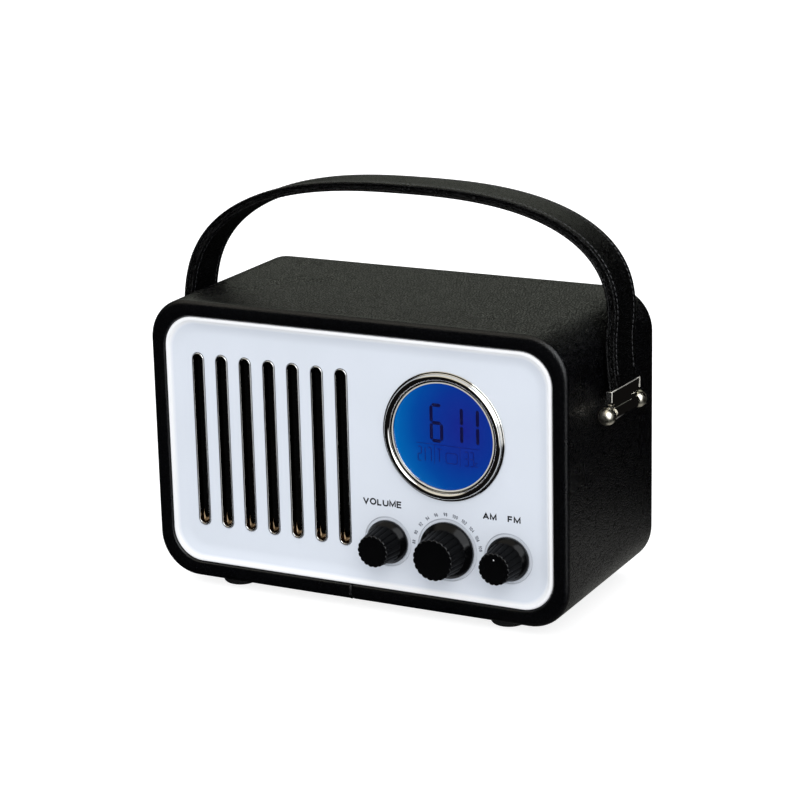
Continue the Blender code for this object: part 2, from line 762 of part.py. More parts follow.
def make_antenna(materials):
    """A swivelling base, a tilting knuckle and three tubes that slide into each other."""
    place = at(ANTENNA_X, 0, ANTENNA_HEIGHT)
    pivot = at(ANTENNA_X, ANTENNA_AXIS_DEPTH, ANTENNA_HEIGHT)
    seat_top = CABINET_DEPTH + 0.0002
    seat = [
        (0.0030, COVER_INNER - 0.004),
        (0.0030, COVER_FACE + GAP),
        (0.0068, COVER_FACE + GAP),
        (0.0068, seat_top - 0.0006),
        (0.0060, seat_top),
    ]
    origin = place + Vector((0, COVER_FACE, 0))
    make_object("antenna_seat", turned(place, "Y", seat, 24), materials["chrome"], origin)

    disc_top = seat_top + GAP + 0.0012
    disc = turned(place, "Y", [(0.0056, seat_top + GAP), (0.0056, disc_top)], 20)
    knuckle = make_object("antenna_knuckle", disc, materials["chrome"], pivot)
    cheeks = []
    cheek_inner = TONGUE_HALF + GAP
    cheek_outer = cheek_inner + 0.0013
    depths = (disc_top - 0.0006, ANTENNA_AXIS_DEPTH + 0.0024)
    for sign in (-1, 1):
        edges = sorted((sign * cheek_inner, sign * cheek_outer))
        heights = (ANTENNA_HEIGHT + edges[0], ANTENNA_HEIGHT + edges[1])
        cheeks.append(cabinet_block((ANTENNA_X - 0.0024, ANTENNA_X + 0.0024), depths, heights))
    combine(knuckle, "UNION", joined(cheeks))
    reach = cheek_inner + 0.0005
    tilt_pin = turned(pivot, "Z", [(TILT_PIN_RADIUS, -reach), (TILT_PIN_RADIUS, reach)], 16)
    combine(knuckle, "UNION", tilt_pin)

    tube_start = 0.0044
    outer = TUBE_RADII[0]
    profile = [
        (outer - 0.0004, tube_start),
        (outer, tube_start + 0.0006),
        (outer, ANTENNA_LENGTH),
        (TUBE_BORES[0], ANTENNA_LENGTH),
        (TUBE_BORES[0], tube_start + 0.003),
    ]
    tube = make_object(
        "antenna_tube_outer", turned(pivot, "X", profile, 16), materials["chrome"], pivot
    )
    tongue = block(
        pivot + Vector((-0.0018, -0.0018, -TONGUE_HALF)),
        pivot + Vector((tube_start + 0.0010, 0.0018, TONGUE_HALF)),
        0.0003,
    )
    combine(tube, "UNION", tongue)
    hole = TILT_PIN_RADIUS + RUNNING_CLEARANCE
    combine(tube, "DIFFERENCE", turned(pivot, "Z", [(hole, -0.004), (hole, 0.004)], 16))

    middle = [
        (TUBE_RADII[1], tube_start + 0.004),
        (TUBE_RADII[1], ANTENNA_LENGTH + 0.0008),
        (TUBE_BORES[1], ANTENNA_LENGTH + 0.0008),
        (TUBE_BORES[1], tube_start + 0.008),
    ]
    tube = turned(pivot, "X", middle, 16)
    make_object("antenna_tube_middle", tube, materials["chrome"], pivot)
    tip = ANTENNA_LENGTH + 0.0008 + GAP
    inner = [
        (TUBE_RADII[2], tube_start + 0.009),
        (TUBE_RADII[2], tip),
        (outer - 0.0004, tip),
        (outer, tip + 0.0005),
        (outer, tip + 0.0045),
        (outer - 0.0008, tip + 0.0055),
    ]
    tube = turned(pivot, "X", inner, 16)
    make_object("antenna_tube_inner", tube, materials["chrome"], pivot)


# ---------------------------------------------------------------- handle


def strap_line(t):
    """Middle line of the strap, t from -1 (left clip) to 1 (right clip), as (x, z).

    The legs rise from the clips to the shoulders, and a superellipse joins the shoulders,
    drawn a little towards +X.
    """
    foot = CLIP_PLATE_TOP + GAP
    leg = STRAP_SHOULDER - foot
    leg_share = 0.16
    side = 1 if t > 0 else -1
    along = abs(t)
    if along > 1 - leg_share:
        drop = (along - (1 - leg_share)) / leg_share
        x = STRAP_HALF_SPAN + (PIVOT_X - STRAP_HALF_SPAN) * drop**2
        return side * x, STRAP_SHOULDER - leg * drop
    angle = math.pi / 2 * along / (1 - leg_share)
    power = 2 / STRAP_FULLNESS
    x = side * STRAP_HALF_SPAN * math.sin(angle) ** power
    rise = max(0.0, math.cos(angle)) ** power
    return x + STRAP_SKEW * rise, STRAP_SHOULDER + STRAP_RISE * rise


def strap_points():
    """Points along the strap at even lengths, with the sideways normal at each."""
    fine = [Vector(strap_line(-1 + 2 * i / 600)) for i in range(601)]
    lengths = [0.0]
    for near, far in zip(fine, fine[1:]):
        lengths.append(lengths[-1] + (far - near).length)
    points = []
    index = 0
    for step in range(STRAP_STEPS + 1):
        target = lengths[-1] * step / STRAP_STEPS
        while index < 599 and lengths[index + 1] < target:
            index += 1
        share = (target - lengths[index]) / (lengths[index + 1] - lengths[index])
        points.append(fine[index].lerp(fine[index + 1], share))
    result = []
    for i, point in enumerate(points):
        before = points[max(i - 1, 0)]
        after = points[min(i + 1, STRAP_STEPS)]
        tangent = (after - before).normalized()
        result.append((point, Vector((-tangent.y, tangent.x))))
    return result


def strap_layer(inner, outer, pivot, tails=0.0):
    """A band of the strap between two offsets from its middle line."""
    line = strap_points()
    if tails:
        first, last = line[0], line[-1]
        line.insert(0, (first[0] - Vector((0, tails)), first[1]))
        line.append((last[0] - Vector((0, tails)), last[1]))
    half = STRAP_WIDTH / 2
    rings = []
    for point, normal in line:
        ring = []
        for offset, y in ((inner, -half), (outer, -half), (outer, half), (inner, half)):
            place = point + normal * offset
            ring.append(pivot + Vector((place.x, y, place.y)))
        rings.append(ring)
    return loft(rings)


def make_handle(materials):
    """The strap in three layers, and on each side a clip, a pin with ball ends and a post."""
    pivot = at(0, PIVOT_DEPTH, PIVOT_HEIGHT)
    handle = bpy.data.objects.new("handle_pivot", None)
    handle.location = pivot
    handle.rotation_euler.x = HANDLE_LEAN
    bpy.context.collection.objects.link(handle)

    half = STRAP_LAYER / 2
    layers = (
        ("strap_outer", half + GAP, half + GAP + STRAP_LAYER, "leather_black", 0.0),
        ("strap_core", -half, half, "black_plastic", 0.0040),
        ("strap_lining", -half - GAP - STRAP_LAYER, -half - GAP, "leather_black", 0.0),
    )
    for name, inner, outer, surface, tails in layers:
        band = strap_layer(inner, outer, pivot, tails)
        make_object(name, band, materials[surface], pivot, handle)

    for side, sign in (("left", -1), ("right", 1)):
        centre = pivot + Vector((sign * PIVOT_X, 0, 0))
        make_clip(f"clip_{side}", centre, sign, materials, handle)
        make_pin(f"handle_pin_{side}", centre, materials, handle)
        make_post(side, sign, pivot, materials, handle)


def make_clip(name, centre, sign, materials, handle):
    """Crimped plate over the strap's end, on a barrel that holds the pin."""
    thick = CLIP_THICKNESS / 2
    plate = block(
        centre + Vector((-thick, -CLIP_WIDTH / 2, CLIP_PLATE_FOOT)),
        centre + Vector((thick, CLIP_WIDTH / 2, CLIP_PLATE_TOP)),
        0.0003,
    )
    clip = make_object(name, plate, materials["chrome"], centre, handle)
    half = BARREL_LENGTH / 2
    neck = block(
        centre + Vector((-thick + 0.0001, -half + 0.0004, 0)),
        centre + Vector((thick - 0.0001, half - 0.0004, CLIP_PLATE_FOOT + 0.0010)),
    )
    combine(clip, "UNION", neck)
    barrel = turned(centre, "Y", [(BARREL_RADIUS, -half), (BARREL_RADIUS, half)], 20)
    combine(clip, "UNION", barrel)
    slot = block(
        centre + Vector((-CLIP_SLOT / 2, -STRAP_WIDTH / 2 - GAP, CLIP_PLATE_FOOT + 0.0020)),
        centre + Vector((CLIP_SLOT / 2, STRAP_WIDTH / 2 + GAP, CLIP_PLATE_TOP + 0.0020)),
    )
    bore = PIN_RADIUS + GAP
    pin_bore = turned(centre, "Y", [(bore, -half - 0.002), (bore, half + 0.002)], 20)
    combine(clip, "DIFFERENCE", joined([slot, pin_bore]))
    eye = POST_RADIUS + GAP
    outward = sorted((-sign * 0.006, -sign * 0.0005))
    post_hole = turned(centre, "X", [(eye, outward[0]), (eye, outward[1])], 20)
    combine(clip, "DIFFERENCE", post_hole)


def make_pin(name, centre, materials, handle):
    """A straight pin with a ball on each end."""
    reach = BALL_SPACING / 2
    profile = []
    for step in range(7):
        angle = math.pi * (0.08 + 0.78 * step / 6)
        profile.append((BALL_RADIUS * math.sin(angle), -reach - BALL_RADIUS * math.cos(angle)))
    profile[-1] = (PIN_RADIUS, -reach + math.sqrt(BALL_RADIUS**2 - PIN_RADIUS**2))
    profile += [(radius, -distance) for radius, distance in reversed(profile)]
    pin = turned(centre, "Y", profile, 16)
    make_object(name, pin, materials["chrome"], centre, handle)


def make_post(side, sign, pivot, materials, handle):
    """The post that turns in the cabinet's side, its head inside, and the fixed bushing."""
    pin_face = PIVOT_X - PIN_RADIUS - GAP
    wall_inner = CABINET_WIDTH / 2 - OPENING_INSET + LEATHER
    head = wall_inner - 0.0020
    profile = [
        (0.0040, sign * POST_INNER_X),
        (0.0040, sign * (head - GAP)),
        (POST_RADIUS, sign * (head - GAP)),
        (POST_RADIUS, sign * pin_face),
    ]
    post = turned(pivot, "X", profile, 24)
    origin = pivot + Vector((sign * CABINET_WIDTH / 2, 0, 0))
    make_object(f"handle_post_{side}", post, materials["steel"], origin, handle)

    bore = POST_RADIUS + RUNNING_CLEARANCE
    face = CABINET_WIDTH / 2 + GAP
    section = [
        (bore, sign * head),
        (BUSHING_RADIUS, sign * head),
        (BUSHING_RADIUS, sign * face),
        (BUSHING_FLANGE, sign * face),
        (BUSHING_FLANGE, sign * (face + 0.0006)),
        (bore, sign * (face + 0.0006)),
    ]
    bushing = turned(pivot, "X", section, 24, closed=True)
    make_object(f"handle_bushing_{side}", bushing, materials["steel"], origin)


def main():
    clear_scene()
    materials = make_materials()
    make_cabinet(materials)
    make_feet(materials)
    make_front_panel(materials)
    make_grille(materials)
    make_speaker(materials)
    make_display(materials)
    make_controls(materials)
    make_electronics(materials)
    make_battery_bay(materials)
    make_back_cover(materials)
    make_rear_buttons(materials)
    make_jacks(materials)
    make_antenna(materials)
    make_handle(materials)


main()
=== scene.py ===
"""Looks of the leather portable radio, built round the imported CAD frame.

Metres, in the frame's own axes; the front faces -Y. Places on the cabinet are given as x,
the depth behind its front rim and the height above its underside, as at() takes them.
"""

import json
import math

import bmesh
import bpy
from mathutils import Matrix, Quaternion, Vector, noise


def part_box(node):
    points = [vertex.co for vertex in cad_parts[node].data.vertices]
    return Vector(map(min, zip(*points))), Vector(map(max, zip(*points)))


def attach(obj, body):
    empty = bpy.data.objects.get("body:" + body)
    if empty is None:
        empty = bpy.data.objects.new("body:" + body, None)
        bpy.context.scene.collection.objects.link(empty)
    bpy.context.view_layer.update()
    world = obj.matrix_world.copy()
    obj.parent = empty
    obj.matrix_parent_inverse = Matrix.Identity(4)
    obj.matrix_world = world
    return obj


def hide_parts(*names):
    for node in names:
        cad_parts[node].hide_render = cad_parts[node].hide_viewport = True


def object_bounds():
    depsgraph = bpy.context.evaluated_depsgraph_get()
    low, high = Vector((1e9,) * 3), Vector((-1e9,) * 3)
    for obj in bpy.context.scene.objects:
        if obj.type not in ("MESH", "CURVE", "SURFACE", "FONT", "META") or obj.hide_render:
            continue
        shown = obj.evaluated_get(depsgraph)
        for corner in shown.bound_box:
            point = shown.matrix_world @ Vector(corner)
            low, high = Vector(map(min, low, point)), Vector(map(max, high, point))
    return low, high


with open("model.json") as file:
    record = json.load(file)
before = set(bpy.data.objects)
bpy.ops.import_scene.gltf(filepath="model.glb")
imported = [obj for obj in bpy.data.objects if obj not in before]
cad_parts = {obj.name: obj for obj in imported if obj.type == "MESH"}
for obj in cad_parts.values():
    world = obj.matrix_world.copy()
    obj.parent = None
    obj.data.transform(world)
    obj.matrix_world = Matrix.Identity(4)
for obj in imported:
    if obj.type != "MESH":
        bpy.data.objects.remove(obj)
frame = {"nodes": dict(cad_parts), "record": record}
CAD_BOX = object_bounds()

# Cabinet
WRAP_LOW, WRAP_HIGH = (Vector(corner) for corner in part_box("leather_wrap"))
WIDTH = WRAP_HIGH.x - WRAP_LOW.x
DEPTH = WRAP_HIGH.y - WRAP_LOW.y
HEIGHT = WRAP_HIGH.z - WRAP_LOW.z
CORNER_RADIUS = 0.0205
EDGE_ROUND = 0.0026
LEATHER = 0.0012
OPENING_INSET = 0.0077
OPENING_RADIUS = 0.0160
OPENING_EDGE_ROUND = 0.0010
LEATHER_FOLD = 0.0080
SEAM_X = -0.003
GAP = 0.0003

# Front panel
PANEL_INSET = OPENING_INSET + GAP
PANEL_RADIUS = OPENING_RADIUS - GAP
FIELD_INSET = 0.0085
FIELD_DEPTH = 0.0030
PANEL_BACK = 0.0050
SLOT_COUNT = 7
SLOT_PITCH = 0.01303
SLOT_WIDTH = 0.0064
SLOT_LENGTH = 0.0873
GRILLE_X = -0.0462
GRILLE_HEIGHT = 0.0700
DISPLAY_X = 0.0463
DISPLAY_HEIGHT = 0.0867
BEZEL_RADIUS = 0.0313
COLLAR_RADIUS = 0.0278
DISPLAY_SURFACE = PANEL_BACK + GAP
KNOB_HEIGHT = 0.0312
KNOB_REACH = 0.0132
# each knob's x, radius and number of flutes
KNOBS = {"volume": (0.0157, 0.0107, 18), "tuning": (0.0470, 0.0138, 20), "band": (0.0784, 0.0107, 18)}

# Back
COVER_FACE = DEPTH - 0.0018
COVER_THICKNESS = 0.0022
COVER_INNER = COVER_FACE - COVER_THICKNESS
BAY_X = 0.036
BAY_HEIGHT = 0.048
BAY_WIDTH = 0.063
BAY_TALL = 0.055
DOOR_LAP = 0.0025
BUTTON_X = {"mode": -0.076, "set": -0.063, "down": -0.050, "up": -0.037}
BUTTON_HEIGHT = 0.090
BUTTON_RADIUS = 0.0032
ANTENNA_X = -0.076
ANTENNA_HEIGHT = 0.112
ANTENNA_LENGTH = 0.150

# Handle
PIVOT_DEPTH = DEPTH / 2
PIVOT_HEIGHT = 0.0952
PIVOT_X = 0.1153
HANDLE_LEAN = math.radians(-2.0)
STRAP_WIDTH = 0.025
STRAP_LAYER = 0.0013
STRAP_FOOT = 0.0116
STRAP_SHOULDER = 0.0348
STRAP_HALF_SPAN = 0.1133
STRAP_RISE = 0.0623
STRAP_FULLNESS = 2.58
STRAP_SKEW = 0.0065
STITCH_EDGE = 0.0028


def at(x, depth, height):
    """World place from x, the depth behind the front and the height above the underside."""
    return Vector((x, WRAP_LOW.y + depth, WRAP_LOW.z + height))


# ---------------------------------------------------------------- materials


class Wiring:
    """A node tree being wired up."""

    def __init__(self, tree):
        self.tree = tree

    def fill(self, item, inputs):
        """Fixes a node's inputs, or joins them to the sockets given."""
        for key, value in inputs.items():
            if isinstance(value, bpy.types.NodeSocket):
                self.tree.links.new(value, item.inputs[key])
            else:
                item.inputs[key].default_value = value

    def add(self, kind, inputs, **settings):
        item = self.tree.nodes.new(kind)
        for key, value in settings.items():
            setattr(item, key, value)
        self.fill(item, inputs)
        return item

    def span(self, value, low, high, start=0.0, end=1.0, smooth=False):
        """Value mapped from low..high to start..end."""
        inputs = {"Value": value, "From Min": low, "From Max": high, "To Min": start, "To Max": end}
        kind = "SMOOTHSTEP" if smooth else "LINEAR"
        return self.add("ShaderNodeMapRange", inputs, interpolation_type=kind).outputs["Result"]

    def math(self, operation, first, second):
        return self.add("ShaderNodeMath", {0: first, 1: second}, operation=operation).outputs["Value"]

    def vector(self, operation, inputs, output="Vector"):
        return self.add("ShaderNodeVectorMath", inputs, operation=operation).outputs[output]


class Shader(Wiring):
    """A Principled material being wired up from procedural textures."""

    def __init__(self, name):
        self.material = bpy.data.materials.new(name)
        self.material.use_nodes = True
        super().__init__(self.material.node_tree)
        self.shader = self.tree.nodes["Principled BSDF"]
        self.place = self.add("ShaderNodeTexCoord", {}).outputs["Object"]

    def set(self, **values):
        """Fixes the shader's inputs, or joins them to other nodes."""
        self.fill(self.shader, {key.replace("_", " "): value for key, value in values.items()})

    def noise(self, scale, detail=3.0, stretch=None):
        place = self.place
        if stretch:
            place = self.add("ShaderNodeMapping", {"Scale": stretch, "Vector": place}).outputs["Vector"]
        inputs = {"Scale": scale, "Detail": detail, "Vector": place}
        return self.add("ShaderNodeTexNoise", inputs).outputs["Fac"]

    def cells(self, scale, feature="DISTANCE_TO_EDGE"):
        inputs = {"Scale": scale, "Vector": self.place}
        return self.add("ShaderNodeTexVoronoi", inputs, feature=feature).outputs["Distance"]

    def waves(self, scale, direction="X", distortion=0.0, profile="SIN"):
        inputs = {"Scale": scale, "Distortion": distortion, "Vector": self.place}
        item = self.add("ShaderNodeTexWave", inputs, bands_direction=direction, wave_profile=profile)
        return item.outputs["Fac"]

    def depth_mask(self, near, far):
        """Runs from 1 to 0 between two depths behind the cabinet's front."""
        depth = self.add("ShaderNodeSeparateXYZ", {0: self.place}).outputs["Y"]
        return self.span(depth, WRAP_LOW.y + near, WRAP_LOW.y + far, 1.0, 0.0)

    def colours(self, factor, *stops):
        """Colour ramp through (position, colour) stops."""
        item = self.add("ShaderNodeValToRGB", {"Fac": factor})
        ramp = item.color_ramp
        while len(ramp.elements) < len(stops):
            ramp.elements.new(0.5)
        for element, (position, colour) in zip(ramp.elements, stops):
            element.position = position
            element.color = (*colour, 1.0)
        return item.outputs["Color"]

    def paint(self, factor, *stops):
        self.set(Base_Color=self.colours(factor, *stops))

    def polish(self, factor, low, high):
        self.set(Roughness=self.span(factor, 0.3, 0.7, low, high))

    def relief(self, *layers):
        """Bump layers, each a height and its depth in metres."""
        below = {}
        for height, depth in layers:
            bump = self.add("ShaderNodeBump", {"Height": height, "Distance": depth, **below})
            below = {"Normal": bump.outputs["Normal"]}
        self.set(**below)


def tint(colour, factor):
    return tuple(channel * factor for channel in colour)


def leather(s, dark, light, pebble, depth, gloss, stretched_rims=False):
    """Grained leather: rounded pebbles between creases, fine wrinkles and shinier patches.

    Leather pulled round the cabinet's rims is stretched, so its pebbles are flatter there.
    """
    creases = s.span(s.cells(pebble), 0.0, 0.22, smooth=True)
    wrinkles = s.noise(pebble * 1.9)
    if stretched_rims:
        slack = s.math("SUBTRACT", 1.0, s.depth_mask(0.0012, 0.0040))
        slack = s.math("MULTIPLY", slack, s.depth_mask(DEPTH - 0.0040, DEPTH - 0.0012))
        slack = s.span(slack, 0.0, 1.0, 0.22, 1.0)
        creases = s.math("ADD", s.math("MULTIPLY", creases, slack), s.span(slack, 0.0, 1.0, 0.8, 0.0))
    # Painted shade and highlight: the creases are painted dark and the pebbles' crests light, over the
    # grain's own faint tone.
    grain_and_crease_shade = s.math("MULTIPLY", creases, s.span(wrinkles, 0.25, 0.75, 0.6, 1.0))
    s.paint(grain_and_crease_shade, (0.0, dark), (0.45, tint(light, 0.45)), (1.0, light))
    s.polish(s.noise(38.0), 0.26, 0.34)
    s.set(Specular_IOR_Level=s.span(creases, 0.0, 1.0, 0.06, gloss))
    s.relief((creases, depth), (wrinkles, depth * 0.3), (s.noise(55.0), 0.00006))


def moulded(s, colour, roughness, grain_scale, grain_depth):
    """Moulded plastic with a faint mottle and a fine skin."""
    s.paint(s.noise(24.0), (0.3, tint(colour, 0.965)), (0.7, colour))
    s.polish(s.noise(90.0, 4.0), roughness * 0.85, roughness * 1.15)
    s.relief((s.noise(grain_scale, 2.0), grain_depth))


def knob_finish(s):
    """Gloss black skirt, collar and face rim with a satin grip between them."""
    colour = (0.0018, 0.0019, 0.0022)
    s.paint(s.noise(24.0), (0.3, tint(colour, 0.8)), (0.7, colour))
    beyond_collar = s.depth_mask(-0.0017, -0.0009)
    face_rim = s.depth_mask(0.0002 - KNOB_REACH, 0.0008 - KNOB_REACH)
    grip = s.math("SUBTRACT", beyond_collar, face_rim)
    uneven = s.span(s.noise(90.0, 4.0), 0.3, 0.7, -0.02, 0.02)
    level = s.math("ADD", s.span(beyond_collar, 0, 1, 0.17, 0.045), s.span(face_rim, 0, 1, 0.0, 0.40))
    s.set(Roughness=s.math("ADD", s.span(grip, 0, 1, 0.18, 0.50), uneven), Specular_IOR_Level=level)
    s.relief((s.noise(2600.0, 2.0), 0.000004))


def panel_finish(s):
    """Glossy white moulding, with a painted highlight: it is whitest along the crest of its lip."""
    # Painted highlight: the lip's crest is painted near white.
    crest = s.span(s.depth_mask(0.0009, 0.0017), 0, 1, 0.0, 0.94)
    mottle = s.span(s.noise(24.0), 0.3, 0.7, 0.0, 0.06)
    lip_highlight_whites = ((0.0, (0.735, 0.775, 0.84)), (0.06, (0.76, 0.80, 0.87)), (0.9, (0.97, 0.97, 0.98)))
    s.paint(s.math("ADD", crest, mottle), *lip_highlight_whites)
    s.polish(s.noise(90.0, 4.0), 0.13, 0.19)
    s.relief((s.noise(1500.0, 2.0), 0.000002), (s.noise(42.0, 1.0), 0.00001))


def rim_finish(s):
    """Bright plating on the bead of each slot; down inside it is painted darker and browner, as painted
    shade with a painted warm reflection.
    """
    s.set(Metallic=1.0)
    bead = s.span(s.depth_mask(FIELD_DEPTH, FIELD_DEPTH + 0.0005), 0, 1, 0.0, 0.92)
    mottle = s.span(s.noise(260.0, 2.0, (1.0, 1.0, 0.3)), 0.3, 0.7, 0.0, 0.1)
    # Painted shade and a painted warm reflection: dark brown down inside the slot, bright plating only on
    # the bead.
    bead_and_painted_shade = ((0.0, (0.09, 0.062, 0.036)), (0.1, (0.18, 0.125, 0.075)), (0.9, (0.80, 0.79, 0.77)))
    s.paint(s.math("ADD", bead, mottle), *bead_and_painted_shade)
    s.polish(s.noise(160.0, 4.0), 0.05, 0.10)
    s.relief((s.noise(700.0, 2.0, (1.0, 1.0, 0.35)), 0.00005))


def metal(s, colour, roughness, brushed=None):
    """Metal with slightly uneven polish, either plated or brushed along an axis."""
    s.set(Metallic=1.0)
    s.paint(s.noise(70.0), (0.3, tint(colour, 0.94)), (0.7, colour))
    s.polish(s.noise(160.0, 4.0, brushed), roughness * 0.7, roughness * 1.4)
    if brushed:
        s.relief((s.noise(900.0, 3.0, brushed), 0.00002))
    else:
        s.relief((s.noise(60.0, 1.0), 0.000012))


def cloth(s, colour, pitch):
    """Open plain weave."""
    weave = s.math("MULTIPLY", s.waves(pitch, "X"), s.waves(pitch, "Z"))
    s.paint(weave, (0.1, tint(colour, 0.25)), (0.8, colour))
    s.set(Roughness=0.95, Specular_IOR_Level=0.1)
    s.relief((weave, 0.0002))


def board(s):
    """Solder mask with traces and pads."""
    traces = s.span(s.waves(26.0, "X", 2.5, "SAW"), 0.82, 0.86)
    pads = s.span(s.cells(170.0, "F1"), 0.18, 0.2, 1.0, 0.0)
    marks = s.math("MAXIMUM", traces, pads)
    s.paint(marks, (0.0, (0.012, 0.10, 0.035)), (0.5, (0.03, 0.20, 0.07)), (1.0, (0.42, 0.34, 0.16)))
    s.polish(s.noise(60.0), 0.35, 0.55)
    s.relief((marks, 0.00004))


def wood_fibre(s):
    fibre = s.noise(260.0, 6.0, (1.0, 0.25, 1.0))
    s.paint(fibre, (0.3, (0.17, 0.10, 0.05)), (0.7, (0.38, 0.25, 0.14)))
    s.polish(fibre, 0.7, 0.9)
    s.relief((fibre, 0.00012))


def paper(s):
    """Pressed paper with coarse fibres."""
    fibres = s.noise(420.0, 6.0)
    s.paint(fibres, (0.3, (0.025, 0.02, 0.017)), (0.7, (0.07, 0.055, 0.045)))
    s.set(Roughness=0.9)
    s.relief((fibres, 0.0001))


def winding(s):
    """Enamelled copper wound in fine turns along X."""
    turns = s.waves(900.0)
    s.set(Metallic=1.0)
    s.paint(turns, (0.2, (0.30, 0.09, 0.03)), (0.8, (0.78, 0.32, 0.13)))
    s.polish(s.noise(80.0), 0.28, 0.40)
    s.relief((turns, 0.00012))


def window_glass(s):
    s.set(Base_Color=(0.97, 0.98, 1.0, 1.0), Transmission_Weight=1.0, IOR=1.3)
    s.polish(s.noise(50.0), 0.0, 0.02)


def backlit_blue(s):
    """The lit display cell: violet blue towards the upper right, azure at the left rim."""
    squash = 0.85
    centre = at(DISPLAY_X + 0.010, 0.0, DISPLAY_HEIGHT + 0.004)
    flat = s.vector("MULTIPLY", {0: s.place, 1: (1.0, 0.0, squash)})
    reach = s.vector("DISTANCE", {0: flat, 1: (centre.x, 0.0, centre.z * squash)}, "Value")
    mottle = s.span(s.noise(60.0), 0.3, 0.7, -0.02, 0.02)
    blues = s.colours(
        s.math("ADD", s.span(reach, 0.0, 0.037), mottle),
        (0.0, (0.010, 0.018, 0.24)),
        (0.42, (0.004, 0.032, 0.28)),
        (0.70, (0.001, 0.060, 0.33)),
        (1.0, (0.0, 0.135, 0.44)),
    )
    s.set(Emission_Color=blues, Emission_Strength=1.0, Base_Color=(0.002, 0.006, 0.03, 1.0))
    s.set(Roughness=0.3, Specular_IOR_Level=0.1)
    s.relief((s.noise(900.0), 0.00001))


def display_ink(s, colour):
    """Dark segment of the lit display, through which a little of the light comes."""
    glow = s.colours(s.noise(700.0), (0.3, tint(colour, 0.85)), (0.7, colour))
    s.set(Emission_Color=glow, Emission_Strength=1.0, Base_Color=(0.003, 0.004, 0.012, 1.0), Roughness=0.35)


def floor_white(s):
    s.paint(s.noise(3.0), (0.3, (0.44, 0.44, 0.44)), (0.7, (0.46, 0.46, 0.46)))
    glow = s.colours(s.noise(2.0), (0.3, (0.80, 0.80, 0.80)), (0.7, (0.82, 0.82, 0.82)))
    s.set(Emission_Color=glow, Emission_Strength=1.0, Roughness=0.8)


def floor_sheen(s):
    """A pale pool that fades outwards."""
    reach = s.vector("LENGTH", {0: s.place}, "Value")
    pool = s.span(reach, 0.02, 0.13, 1.0, 0.0, smooth=True)
    glow = s.colours(pool, (0.0, (0.0, 0.0, 0.0)), (1.0, (0.30, 0.30, 0.285)))
    s.set(Emission_Color=glow, Emission_Strength=1.0, Base_Color=(0.0, 0.0, 0.0, 1.0))
    s.set(Roughness=1.0, Specular_IOR_Level=0.0)


FINISHES = {
    "leather_black": (leather, (0.0003, 0.0003, 0.0006), (0.0018, 0.0019, 0.0027), 700, 0.0002, 0.60, True),
    "strap_leather": (leather, (0.0004, 0.0004, 0.0005), (0.0026, 0.0027, 0.0029), 900, 0.00015, 0.46),
    "wood_fibre": (wood_fibre,),
    "gloss_white": (panel_finish,),
    "slot_chrome": (rim_finish,),
    # painted highlight: a pale finish on thin beads round the clock ring and along the clips' edges
    "painted_highlight": (moulded, (0.62, 0.60, 0.54), 0.3, 900.0, 0.00001),
    "ball_nickel": (metal, (0.84, 0.80, 0.68), 0.30),
    "chrome": (metal, (0.80, 0.785, 0.75), 0.055),
    "grille_cloth": (cloth, (0.0030, 0.0030, 0.0032), 330.0),
    "steel": (metal, (0.50, 0.50, 0.49), 0.32, (1.0, 1.0, 6.0)),
    "paper_cone": (paper,),
    "clear_window": (window_glass,),
    "display_blue": (backlit_blue,),
    "light_guide": (moulded, (0.72, 0.80, 0.88), 0.3, 600.0, 0.00001),
    "circuit_board": (board,),
    "knob_black": (knob_finish,),
    "black_plastic": (moulded, (0.022, 0.022, 0.023), 0.46, 2200.0, 0.00003),
    "ferrite": (moulded, (0.035, 0.035, 0.038), 0.6, 1500.0, 0.00003),
    "copper_wire": (winding,),
    "brass": (metal, (0.68, 0.48, 0.20), 0.28, (1.0, 6.0, 1.0)),
    "rubber": (moulded, (0.006, 0.006, 0.0062), 0.7, 1800.0, 0.00004),
    "ink_dark": (moulded, (0.004, 0.0045, 0.007), 0.5, 3000.0, 0.000004),
    "ink_grey": (moulded, (0.17, 0.185, 0.22), 0.5, 3000.0, 0.000004),
    "ink_white": (moulded, (0.80, 0.80, 0.80), 0.5, 3000.0, 0.000004),
    # black thread on the strap and the seam, lightened as a painted glint
    "thread_black": (moulded, (0.050, 0.050, 0.052), 0.3, 4200.0, 0.00006),
    "thread_dark": (moulded, (0.009, 0.009, 0.010), 0.5, 4200.0, 0.00006),
    "display_ink": (display_ink, (0.006, 0.006, 0.050)),
    "display_ink_faint": (display_ink, (0.006, 0.014, 0.16)),
    "floor_white": (floor_white,),
    "floor_sheen": (floor_sheen,),
}


def make_material(name, finish, *settings):
    s = Shader(name)
    finish(s, *settings)
    return s.material


MATERIALS = {name: make_material(name, *finish) for name, finish in FINISHES.items()}


# ---------------------------------------------------------------- mesh helpers


def loft(rings, closed=False):
    """Quads skinned over rings of equal length; closed joins the last to the first."""
    bm = bmesh.new()
    loops = [[bm.verts.new(point) for point in ring] for ring in rings]
    count = len(loops[0])
    followers = loops[1:] + loops[:1] if closed else loops[1:]
    for near, far in zip(loops, followers):
        for i in range(count):
            j = (i + 1) % count
            bm.faces.new((near[i], near[j], far[j], far[i]))
    if not closed:
        bm.faces.new(loops[0])
        bm.faces.new(loops[-1])
    bmesh.ops.recalc_face_normals(bm, faces=bm.faces)
    return bm


def arc(centre, radius, start, end, steps):
    """Points (a, b) on an arc, both ends included; angles in degrees."""
    points = []
    for step in range(steps + 1):
        angle = math.radians(start + (end - start) * step / steps)
        points.append((centre[0] + radius * math.cos(angle), centre[1] + radius * math.sin(angle)))
    return points


